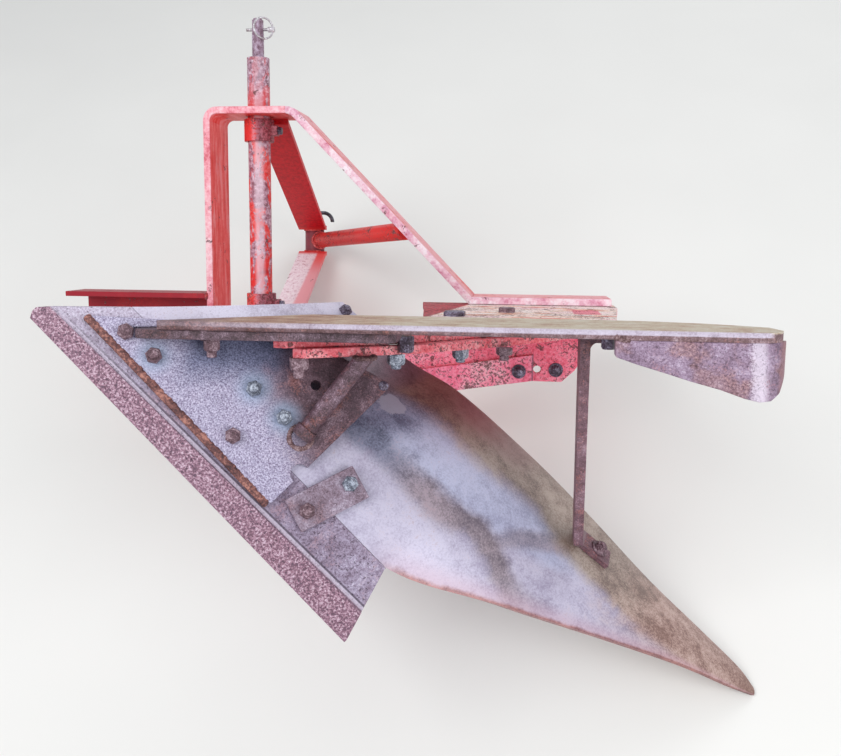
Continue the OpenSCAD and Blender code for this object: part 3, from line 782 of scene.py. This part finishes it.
def olive_crest(colour, mixed, along, level):
    """Olive along the upper edge, burnt brown towards the shin, with a red stain between them."""
    olive = mixed.ramp([(0.42, (108, 88, 76)), (0.5, (146, 128, 114)), (0.58, (174, 160, 146))])
    burnt = mixed.ramp([(0.42, (70, 48, 44)), (0.5, (110, 80, 68)), (0.58, (140, 112, 98))])
    olive = along.step(0.36, 0.24).blend(olive, burnt)
    stain = level.step(0.76, 0.92) * along.band(0.32, 0.03, 0.06)
    olive = (stain * 0.5).blend(olive, (126, 66, 70))
    upper = (level + (along - 0.44).most(0) * 1.9).step(0.61, 0.76) * along.step(0.13, 0.18)
    return (upper * 0.92).blend(colour, olive)


def shin_ends(f, colour, mixed, along, up):
    """Dark behind the frog's corner, a painted shade, and pale lavender down the shin."""
    # behind: painted shade where the frog's corner and landside overhang the board
    behind = along.step(0.2, 0.165) * f.y.step(16, 24) * up.step(0.35, 0.45)
    dusk = mixed.ramp([(0.42, (66, 50, 58)), (0.56, (124, 102, 112))])
    colour = (behind * 0.85).blend(colour, dusk)
    shin = along.step(0.13, 0.1) * f.y.step(14, 2)
    pale = mixed.ramp([(0.4, (176, 164, 184)), (0.54, (220, 214, 232))])
    return (shin * 0.8).blend(colour, pale)


def lower_edge(colour, mixed, patch, along, up):
    """A pink fringe and a red rim along the lower edge, behind the share."""
    pink = up.step(0.16, 0.02) * along.step(0.33, 0.42)
    colour = (pink * 0.4).blend(colour, (188, 146, 158))
    red = (up + patch * 0.05).step(0.06, 0.03) * along.step(0.36, 0.4)
    rim = mixed.ramp([(0.42, (100, 56, 56)), (0.58, (176, 116, 108))])
    return (red * 0.85).blend(colour, rim)


def moldboard_steel():
    """Smooth steel painted lavender for the sky's reflection, in broad soft zones laid over one another;
    several zones are painted reflections and shade.

    Of the board's own map, along runs from shin to tail and up from the lower to the upper
    edge. level is up with noise on it, which leaves a zone's edge ragged.
    """
    f = Finish("moldboard_steel")
    along, up = f.along_up()
    cloud = f.noise(120, 4, 0.6, 0.5, at=2)
    patch = f.noise(24, 5, 0.65, 0.3, at=4)
    grain = f.noise(3.0, 4, 0.75, at=6)
    mixed = cloud * 0.3 + patch * 0.3 + grain * 0.4
    level = up + cloud * 0.14 + patch * 0.08 - 0.11
    colour = mixed.ramp([(0.4, (152, 144, 168)), (0.48, (176, 170, 192)), (0.56, (194, 190, 210))])
    colour = sky_reflection_and_shade(colour, mixed, along, level)
    colour = dark_reflection_and_shadow(colour, mixed, along, level)
    colour = olive_crest(colour, mixed, along, level)
    colour = shin_ends(f, colour, mixed, along, up)
    low = up.step(0.26, 0.1) * along.step(0.76, 0.64)
    tail = (along + patch * 0.16 - 0.08).step(0.56, 0.7) * (1 - low * 0.65)
    brown = mixed.ramp([(0.42, (124, 92, 84)), (0.5, (172, 142, 134)), (0.58, (200, 176, 168))])
    brown = (along.step(0.82, 1) * 0.5).blend(brown, (116, 80, 68))
    colour = (tail * 0.88).blend(colour, brown)
    rusting = (grain * 0.45 + patch * 0.35 + cloud * 0.2).step(0.54, 0.62)
    colour = (rusting * 0.35).blend(colour, (150, 110, 112))
    # A pale patch round that place: a painted glare of reflected light.
    bright = (f.near(board_seat(GLARE_SPOT)[0], 42) + patch * 1.2).step(1.08, 1.16)
    colour = (bright * 0.8).blend(colour, (170, 168, 186))
    colour = lower_edge(colour, mixed, patch, along, up)
    rough = 0.3 + rusting * 0.15 + grain * 0.12 + tail * 0.1
    return f.done(colour, rough, 0.1, grain * 0.5 + patch * 0.4, 0.3)


# Metals of small pieces: three shades, size of the grain, its place in the noise, roughness, how
# metallic it is, and the depth of its relief
METALS = {
    "zinc_nut": ([(58, 62, 74), (120, 126, 142), (196, 204, 218)], 1, 3, 0.32, 0.3, 0.15),
    "rusted_nut": ([(60, 38, 46), (112, 84, 94), (170, 146, 156)], 1, 7, 0.45, 0.1, 0.35),
    "blackened_nut": ([(44, 34, 44), (84, 70, 88), (146, 142, 164)], 1, 11, 0.36, 0.3, 0.2),
    "dark_steel": ([(28, 26, 30), (56, 54, 60), (120, 120, 132)], 1, 13, 0.34, 0.5, 0.12),
    "linch_pin_steel": ([(120, 104, 104), (176, 170, 176), (222, 220, 226)], 1, 15, 0.34, 0.5, 0.12),
    "painted_weld": ([(120, 40, 48), (190, 60, 60), (226, 130, 130)], 1.6, 17, 0.45, 0.0, 0.4),
    "rusted_weld": ([(64, 42, 44), (112, 82, 84), (170, 146, 150)], 1.4, 19, 0.5, 0.1, 0.5),
    "fresh_rust": ([(52, 30, 36), (112, 70, 68), (176, 122, 110)], 1.2, 23, 0.6, 0.0, 0.9),
}


def metal(name):
    """A small piece's metal: three shades mixed by grain and patches."""
    shades, size, at, rough, metallic, depth = METALS[name]
    f = Finish(name)
    mixed = f.noise(2.6 * size, 4, 0.7, at=at) * 0.6 + f.noise(13 * size, 3, at=at + 2) * 0.4
    colour = mixed.ramp([(0.38, shades[0]), (0.5, shades[1]), (0.6, shades[2])])
    return f.done(colour, rough + mixed * 0.2, metallic, mixed, depth)


# The moldboard's net, as in the part: each row runs from the lower edge over a handle to the upper edge
NET = np.array([
    [[121, -12, 0], [232, -13, 0], [350, -5, 310]],
    [[235, 99, 0], [390, 95, 0], [449, 86, 330]],
    [[350, 214, 0], [490, 150, 0], [539, 144, 345]],
    [[463, 327, 0], [582, 236, 0], [660, 250, 350]],
    [[615, 400, 105], [700, 346, 190], [750, 337, 344]],
    [[759, 461, 155], [815, 428, 226], [850, 437, 324]],
    [[881, 515, 197], [908, 500, 240], [925, 502, 302]],
    [[965, 565, 235], [977, 556, 252], [985, 553, 278]],
    [[1007, 589, 257], [1010, 585, 262], [1008, 581, 268]]], float)
# How many of its rows butt against the share, the board's thickness and its clearance off that plane
BUTTED = 4
BOARD_T = 6.5
SEAT = 0.2
# Places on the board: row of the net, and part of the way from the lower to the upper edge
BRACE_BOLT = (4.34, 0.735)
SHIN_BOLT = (0.16, 0.955)
# The middle of a painted glare on the board
GLARE_SPOT = (1.64, 0.6)


def board_net():
    """The net with its first rows on the share's underside plane, their lower edge along the share's.

    On that plane z is the tangent of the slope times the distance up it, less a drop.
    """
    net = NET.copy()
    first = net[:BUTTED]
    drop = (SHARE_UNDER - SEAT) / math.cos(SLOPE)
    level = (first[:, :2, 0] - first[:, :2, 1]) / math.sqrt(2)
    first[:, :2, 2] = level * math.tan(SLOPE) - drop
    along = (first[:, 0, 0] + first[:, 0, 1]) / math.sqrt(2)
    first[:, 0] = [on_slope(JOINT_W + JOINT_GAP, e, SEAT - SHARE_UNDER) for e in along]
    return net


def board_at(s, t):
    """The moldboard's back: smooth curves through the net's columns at s rows, then a parabola at t.

    The parabola starts at the lower edge, ends at the upper and leans to the handle between
    them. Where the board butts against the share its lower edge is straight.
    """
    net = board_net()
    column = smooth(net, s)
    last = BUTTED - 1
    straight = net[0, 0] + (net[last, 0] - net[0, 0]) * s[..., None] / last
    low = np.where((s <= last)[..., None], straight, column[..., 0, :])
    t = t[..., None]
    return (1 - t) ** 2 * low + 2 * t * (1 - t) * column[..., 1, :] + t**2 * column[..., 2, :]


def board_normal(s, t):
    """The direction from the moldboard's back to its working face, square to its two slopes."""
    near = 0.02
    last = len(NET) - 1
    up = board_at(s, np.minimum(1, t + near)) - board_at(s, np.maximum(0, t - near))
    along = board_at(np.minimum(last, s + near), t) - board_at(np.maximum(0, s - near), t)
    return unit(np.cross(up, along))


def board_seat(place):
    """A place on the moldboard's back and the direction that points away from the board there."""
    s, t = [np.array(v) for v in place]
    return board_at(s, t), -board_normal(s, t)


def moldboard(steel):
    """The moldboard's plate: rings that run up its back and down its working face, from shin to tail.

    The working face is the back moved by the thickness along its normal. The first and last
    ring are closed by one on the plate's middle. along_and_up holds the shares of s and t.
    """
    rows, columns = 129, 41
    last = len(NET) - 1
    s, t = np.meshgrid(np.linspace(0, last, rows), np.linspace(0, 1, columns), indexing="ij")
    back = board_at(s, t)
    face = back + BOARD_T * board_normal(s, t)
    middle = (back + face) / 2
    ring = np.concatenate([back, face[:, ::-1]], 1)
    closed = np.concatenate([middle, middle[:, ::-1]], 1)
    grid = np.concatenate([closed[:1], ring, closed[-1:]])
    maps = np.stack([s / last, t], -1)
    maps = np.concatenate([maps, maps[:, ::-1]], 1)
    maps = np.concatenate([maps[:1], maps, maps[-1:]])
    piece("moldboard_plate", [grid], steel, replaces=["moldboard"], maps=maps)


def nut_grids(at, axis, across, height, stub, twist=0.0):
    """A hexagon nut with the end of its bolt, both spun profiles, standing on the point at.

    across is its width across the flats. The bolt's radius is a third of that. It stands out by
    stub, and its thread is a radius that steps in and out.
    """
    bolt = across / 3
    corner = across / math.sqrt(3)
    nut = [(0, 0), (0, corner * 0.97), (height * 0.06, corner * 1.01), (height * 0.82, corner * 1.01),
           (height, across * 0.47), (height, 0)]
    grids = [turned(nut, at, axis, 48, across, twist)]
    if stub > 0:
        thread = np.arange(0, max(stub - 2.0, 0.4), 0.9)
        foot = height - 0.5
        end = [(foot, 0)] + [(foot + v, bolt - 0.35 * (k % 2)) for k, v in enumerate(thread)]
        top = height + stub
        end += [(top - 1.4, bolt), (top, bolt * 0.82), (top + 0.6, 0)]
        grids.append(turned(end, at, axis, 24))
    return grids


def washer_grid(at, axis, radius, thick):
    """A flat washer: a spun rectangle whose outer corners are cut off by half a millimetre."""
    soft = 0.5
    profile = [(0, 0), (0, radius - soft), (soft, radius),
               (thick - soft, radius), (thick, radius - soft), (thick, 0)]
    return turned(profile, at, axis, 32)


def dome_grid(at, axis, radius, height):
    """A round bolt head: a low dome, its radius falling as the root of one less the squared height."""
    dome = [(height * h, radius * math.sqrt(max(0, 1 - h**2))) for h in np.linspace(0, 1, 8)]
    return turned([(0, 0)] + dome, at, axis, 28)


# Frog nuts in the share slope: name, up the slope, along the edge, plates under them, twist and finish
FROG_NUTS = [
    ("frog_nut_point", 75.5, 99.6, FROG_T, 12, "brown"),
    ("frog_nut_front", 79.8, 147.2, FROG_T, 40, "brown"),
    ("frog_nut_upper", 142.8, 267.4, FROG_T, 8, "bright"),
    ("frog_nut_rear", 144.6, 322.8, FROG_T, 33, "bright"),
    ("frog_nut_lower", 80.9, 294.0, FROG_T, 21, "brown"),
    ("strap_nut_lower", 81.9, 432.1, STRAP_T, 18, "brown"),
    ("strap_nut_upper", 146.4, 447.0, STRAP_T, 44, "bright"),
]
# Those that have rubbed the steel round them blue
RUBBED_NUTS = ("frog_nut_front", "frog_nut_upper", "frog_nut_rear", "strap_nut_upper")
# The rivet at the frog plate's rear corner: up the slope and along the edge
CORNER_RIVET = (272, 384.5)


def frog_nuts(finishes):
    """Plough bolts' nuts on the underside of the frog plate and the joint strap."""
    axis = -slope_axes()[2]
    for name, w, e, plate, twist, finish in FROG_NUTS:
        at = on_slope(w, e, SUNK - SHARE_UNDER - plate)
        nut = nut_grids(at, axis, across=19, height=9.5, stub=4.5, twist=twist)
        piece(name, nut, finishes[finish])
    rivet = dome_grid(on_slope(*CORNER_RIVET, SUNK - SHARE_UNDER - FROG_T), axis, 7, 3)
    piece("frog_corner_rivet", [rivet], finishes["dark"])


# Thickness of the washers of the nuts across the plough
CROSS_WASHER_T = 3.6
# Nuts and heads across the plough: name, x, z, face they stand on, side, width, height, stub, finish
CROSS_NUTS = [
    ("web_nut", 233, 34, WEB_RIGHT + CROSS_WASHER_T - SUNK, 1, 20, 14, 9, "brown"),
    ("landside_rear_nut", 742, 22, LAND_T, 1, 15, 14, 0, "dark"),
    ("standard_nut", 346, 50, STANDARDS_RIGHT, 1, 23, 16, 11, "brown"),
    ("web_rear_nut", 481, 98, WEB_RIGHT, 1, 20, 22, 0, "dark"),
    ("standard_rear_nut", 466, 112, STANDARDS_RIGHT, 1, 22, 15, 6, "bright"),
    ("bracket_front_nut", 548, 205, STANDARDS_RIGHT, 1, 21, 17, 6, "bright"),
    ("bracket_rear_nut", 612, 208, STANDARDS_RIGHT, 1, 21, 11, 8, "brown"),
    ("bracket_front_head", 532, 290, LAND_T, -1, 32, 8, 0, "dark"),
    ("bracket_rear_head", 612, 376, LAND_T, -1, 26, 8, 0, "brown"),
]
# Washers under two of them: name, x, z, face, side, radius
CROSS_WASHERS = [
    ("web_washer", 233, 34, WEB_RIGHT, 1, 15),
    ("bracket_front_washer", 548, 205, STANDARDS_RIGHT - 1, 1, 13),
]


def cross_nuts(finishes):
    """Nuts, heads and washers whose bolts run across the plough."""
    for name, x, z, face, side, across, height, stub, finish in CROSS_NUTS:
        grids = nut_grids([x, face - side * SUNK, z], [0, side, 0], across, height, stub, 15)
        piece(name, grids, finishes[finish])
    for name, x, z, face, side, radius in CROSS_WASHERS:
        at = [x, face - side * SUNK, z]
        piece(name, [washer_grid(at, [0, side, 0], radius, CROSS_WASHER_T)], finishes["brown"])


# Round heads under the bracket's flat leg: name, x, y and how much thicker the plates are there
FLAT_HEADS = [("brace_bolt_front", 634, 131, RIGHT_BRACE_T), ("brace_bolt_rear", 701, 128, 0)]


def flat_heads(finishes):
    """Domed heads on washers under the bracket's flat leg and the end of the right brace."""
    down = [0, 0, -1]
    washer_t = 2.4
    for name, x, y, more in FLAT_HEADS:
        face = FRAME_Z - BRACKET_FLAT + SUNK - more
        washer = washer_grid([x, y, face], down, 13, washer_t)
        head = dome_grid([x, y, face - washer_t + 0.1], down, 9.2, 6.5)
        piece(name, [washer, head], finishes["dark"])


# Height of the brace's flange over the moldboard's back, and thickness of the washer on it
FLANGE_TOP = 8.9
FLANGE_WASHER = 2.6


def board_bolts(finishes):
    """The brace's bolt on the moldboard, with its washer, and the bolt at the top of the shin."""
    seat, back = board_seat(BRACE_BOLT)
    at = seat + back * FLANGE_TOP
    nut = nut_grids(at + back * (FLANGE_WASHER - SUNK), back, 17, 8, 3, 10)
    piece("board_bolt", nut, finishes["brown"])
    piece("board_washer", [washer_grid(at, back, 14, FLANGE_WASHER)], finishes["brown"])
    seat, back = board_seat(SHIN_BOLT)
    piece("shin_bolt", nut_grids(seat - back * 0.3, back, 18, 9, 3, 20), finishes["dark"])


# Set screws of the collars, by name and y, and how far their bosses reach from the tube's axis
COLLAR_SCREWS = [("collar_screw_left", FRAME_LEFT + BAR_T + 25.8), ("collar_screw_right", 21.5)]
BOSS_TOP = TUBE_R + 15.6


def set_screws(finishes):
    """Hexagon set screws in the bosses of the two collars on the cross tube."""
    for name, y in COLLAR_SCREWS:
        screw = nut_grids([TUBE_X + BOSS_TOP, y, TUBE_Z], [1, 0, 0], 13, 8, 0, 5)
        piece(name, screw, finishes["dark"])


def ring_round(middle, first, second, gap):
    """Points of an ellipse round its middle, given by two half axes, open by twice the gap's angle."""
    angle = np.linspace(gap, 2 * math.pi - gap, 14)[:, None]
    return middle + np.cos(angle) * first + np.sin(angle) * second


def mast_welds():
    """Beads on the mast and the coulter arm, painted over."""
    top = np.array([TUBE_X + 8, HITCH_Y, TOP_PIN_Z - 9])
    foot = np.array([412, -122, FRAME_Z + BAR_W - 26])
    down = unit(foot - top)
    side = unit(np.cross(down, ACROSS))
    pipe_ring = ring_round(top + down * 21, 18.4 * side, 18.4 * np.cross(side, down), 0.3)
    spacer = [(x, TOP_PIN_Z - 23.5) for x in (TUBE_X - 19, TUBE_X, TUBE_X + 19)]
    return [
        ("mast_brace_weld", 6, down, pipe_ring),
        ("mast_weld_left", 6, ACROSS, [[x, HITCH_Y - MAST_HALF + 1, z] for x, z in spacer]),
        ("mast_weld_right", 6, ACROSS, [[x, HITCH_Y + MAST_HALF - 1, z] for x, z in spacer]),
        ("arm_weld", 7, UPRIGHT, [[38.6, y, FRAME_Z + z] for y, z in ((0, 0.6), (5, 0.4), (10, 0.6))]),
    ]


def frog_welds():
    """Beads on the frog, the landside and the heel, rusted over."""
    rod_head, rod_foot = np.array([433, 45, 78]), np.array([348, 157, 52])
    across = unit(np.cross(rod_head - rod_foot, ACROSS))
    up = unit(np.cross(across, ACROSS))
    head = np.array([429.0, STANDARDS_RIGHT + 1.2, 77])
    foot = np.array([347.5, 157.0, 49.5])
    slope_up, along_edge, off_slope = slope_axes()
    strut = LAND_T + 0.5
    web = WEB_RIGHT + 1
    return [
        ("rod_head_weld", 8, ACROSS, ring_round(head, 14.5 * across, 13 * up, 0.2)),
        ("rod_foot_weld", 7, off_slope, ring_round(foot, 15.5 * slope_up, 15.5 * along_edge, 0.2)),
        ("brace_foot_weld", 5, ACROSS, [[711, strut, 49.5], [730, strut, 49.2], [746, strut, 49.5]]),
        ("heel_weld", 8, UPRIGHT, [[748, 8, 2.4], [756, 11, 1.2], [764, 12, 2.4]]),
        ("frog_web_weld", 6, UPRIGHT, [[205, web, 52], [262, web + 0.5, 80], [330, web, 104]]),
    ]


def welds():
    """All beads, each given by its name, width, the axis its rings lean on and the points it joins."""
    for finish, rows in ((metal("painted_weld"), mast_welds()), (metal("rusted_weld"), frog_welds())):
        for name, width, about, points in rows:
            piece(name, [weld_bead(np.asarray(points, float), width, about)], finish)


def frog_ridge():
    """The raised, freshly rusted front edge of the frog plate: a low bead carried along it.

    Its line bows by the square of the part gone, and both line and radius are roughened by
    three sines of that part.
    """
    gone = np.linspace(0, 1, 170)
    rough = 0.5 * np.sin(gone * 71) + 0.4 * np.sin(gone * 157 + 1) + 0.5 * np.sin(gone * 263 + 2)
    across = 53.4 - 3 * gone**2 + 0.4 * rough
    under = np.full(len(gone), 0.6 - SHARE_UNDER - FROG_T)
    line = np.stack([across, 52 + 335 * gone, under], -1) @ slope_axes()
    ridge = carried(line, 5.2 + 0.5 * rough, 12, 0.62, slope_axes()[2])
    piece("frog_ridge", [ridge], metal("fresh_rust"), sharp=60)


# The front end of the bracket's flat leg: its middle, half lengths, lower and upper face, and corners
TOE_MIDDLE = np.array([443.0, 100.0])
TOE_HALF = np.array([22.0, 45.0])
TOE_LOW, TOE_HIGH = 520.2, 531.6
TOE_CORNER, TOE_SOFT = 5.0, 0.8


def toe_ring(height, inset):
    """The toe's outline at a height, drawn in by inset.

    A point of it lies at its corner's centre plus the corner's radius along the angle.
    """
    angle = (np.arange(48) + 0.5) * 2 * math.pi / 48
    ray = np.stack([np.cos(angle), np.sin(angle)], -1)
    flat = TOE_MIDDLE + np.sign(ray) * (TOE_HALF - TOE_CORNER) + ray * (TOE_CORNER - inset)
    return np.column_stack([flat, np.full(len(angle), height)])


def bracket_toe(paint):
    """The toe: its outline carried from the lower to the upper face, its edges cut off by TOE_SOFT."""
    heights = (TOE_LOW, TOE_LOW + TOE_SOFT, TOE_HIGH - TOE_SOFT, TOE_HIGH)
    rings = [toe_ring(height, inset) for height, inset in zip(heights, (TOE_SOFT, 0, 0, TOE_SOFT))]
    middles = [np.full_like(rings[0], (*TOE_MIDDLE, height)) for height in (TOE_LOW, TOE_HIGH)]
    piece("bracket_toe", [np.array([middles[0], *rings, middles[1]])], paint)


def soften(node):
    """Merges the sub-part's triangles, dissolves its flat ones and chamfers its sharp edges a little."""
    merge = node.modifiers.new("merge", "WELD")
    merge.merge_threshold = 1e-5
    flat = node.modifiers.new("flat_faces", "DECIMATE")
    flat.decimate_type = "DISSOLVE"
    flat.angle_limit = math.radians(0.4)
    chamfer = node.modifiers.new("worn_edges", "BEVEL")
    chamfer.width = 0.0009
    chamfer.segments = 1
    chamfer.limit_method = "ANGLE"
    chamfer.angle_limit = math.radians(30)


def dress(finish, *names):
    """Gives the CAD sub-parts of these names the finish and worn edges."""
    for name in names:
        node = frame["nodes"][name]
        node.data.materials.clear()
        node.data.materials.append(finish)
        soften(node)


def dress_red(bracket):
    """The painted sub-parts: frame, mast, cross tube, standards, bracket and right brace."""
    dress(frame_paint(), "frame_front", "frame_left", "frame_right")
    dress(arm_paint(), "coulter_arm")
    dress(rear_frame_paint(), "frame_diagonal", "frame_tail")
    dress(mast_paint(), "mast_arm_left", "mast_arm_right")
    dress(mast_brace_paint(), "mast_brace")
    dress(spacer_paint(), "mast_spacer")
    dress(tube_paint(), "cross_tube")
    dress(collar_paint(), "collar_left", "collar_right")
    dress(standard_paint(), "standard_left", "standard_right")
    dress(bracket, "rear_bracket")
    dress(right_brace_paint(), "right_brace")


def dress_iron(steel):
    """The sub-parts of bare iron and steel: bottom, frog, landside, brace and pins."""
    dress(share_rust(), "share")
    dress(frog_rust(), "frog_plate")
    dress(strap_rust(), "joint_strap")
    dress(web_rust(), "frog_web")
    dress(rod_rust(), "frog_rod")
    dress(landside_rust(), "landside_bar")
    dress(heel_rust(), "landside_heel")
    dress(brace_rust(), "moldboard_brace")
    dress(steel, "moldboard")
    dress(metal("linch_pin_steel"), "linch_pin_left", "linch_pin_right")
    dress(metal("dark_steel"), "top_link_pin")


def floor():
    """A wide pale floor: a grid of one face, with a fine mottle in its colour."""
    reach = 12.0
    mesh = bpy.data.meshes.new("floor")
    corners = [(-reach, -reach, 0), (reach, -reach, 0), (reach, reach, 0), (-reach, reach, 0)]
    mesh.from_pydata(corners, [], [(0, 1, 2, 3)])
    made = bpy.data.objects.new("floor", mesh)
    bpy.context.scene.collection.objects.link(made)
    f = Finish("pale_floor")
    mottle = f.noise(400, 2)
    made.data.materials.append(f.done(mottle.blend((226, 226, 223), (232, 232, 229)), 0.9))


def world():
    """A pale surround: plain white to the camera and to reflections, softer as light."""
    made = bpy.data.worlds.new("studio")
    bpy.context.scene.world = made
    made.use_nodes = True
    tree = made.node_tree
    start = Socket(tree, tree.nodes["Background"].outputs[0])
    path = start.node("LightPath")
    seen = Socket(tree, path.out.node.outputs["Is Camera Ray"])
    glossy = Socket(tree, path.out.node.outputs["Is Glossy Ray"])
    strength = 0.62 + 0.38 * seen.most(glossy * 0.4)
    tree.nodes["Background"].inputs["Color"].default_value = shade((246, 248, 252))
    tree.links.new(strength.out, tree.nodes["Background"].inputs["Strength"])


def stand(x, y, z, place):
    """The matrix of something that stands at place, with x, y and z as its own axes."""
    rows = np.stack([x, y, z, place], 1).tolist()
    return Matrix(rows + [[0, 0, 0, 1]])


def softbox(name, place, aim, size, power):
    """A square lamp at place, facing aim, both in metres."""
    lamp = bpy.data.lights.new(name, "AREA")
    lamp.shape = "SQUARE"
    lamp.size = size
    lamp.energy = power
    made = bpy.data.objects.new(name, lamp)
    bpy.context.scene.collection.objects.link(made)
    z = unit(np.subtract(place, aim))
    x = unit(np.cross([0, 0, 1], z))
    y = np.cross(z, x)
    made.matrix_world = stand(x, y, z, place)


def camera():
    """The photograph's camera, placed by its own right, down and forward directions."""
    eye = [0.2431, -1.054, 1.3601]
    right = np.array([0.9937, 0.0949, -0.0598])
    down = np.array([0.0279, -0.7253, -0.6878])
    forward = unit(np.cross(right, down))
    right = unit(right)
    down = np.cross(forward, right)
    data = bpy.data.cameras.new("camera")
    data.lens = 36.489
    data.sensor_width = 36
    data.shift_x = -0.00095
    data.shift_y = -0.0365
    made = bpy.data.objects.new("camera", data)
    bpy.context.scene.collection.objects.link(made)
    made.matrix_world = stand(right, -down, -forward, eye)
    bpy.context.scene.camera = made


def build():
    """The plough: its CAD sub-parts' finishes, then the pieces that only the visual scene has."""
    bracket, steel = bracket_paint(), moldboard_steel()
    dress_red(bracket)
    dress_iron(steel)
    moldboard(steel)
    finishes = {"bright": metal("zinc_nut"), "brown": metal("rusted_nut"),
                "dark": metal("blackened_nut")}
    frog_nuts(finishes)
    cross_nuts(finishes)
    flat_heads(finishes)
    board_bolts(finishes)
    set_screws(finishes)
    welds()
    frog_ridge()
    bracket_toe(bracket)


bpy.context.scene.view_settings.view_transform = "Standard"
camera()
world()
floor()
softbox("key_lamp", (-1.8, -1.4, 3.2), (0, 0, 0.2), 2.2, 70)
softbox("fill_lamp", (2.0, -1.6, 1.5), (0, 0, 0.4), 1.6, 30)
softbox("back_lamp", (1.6, 2.4, 2.4), (0, 0, 0.3), 2.0, 22)
build()
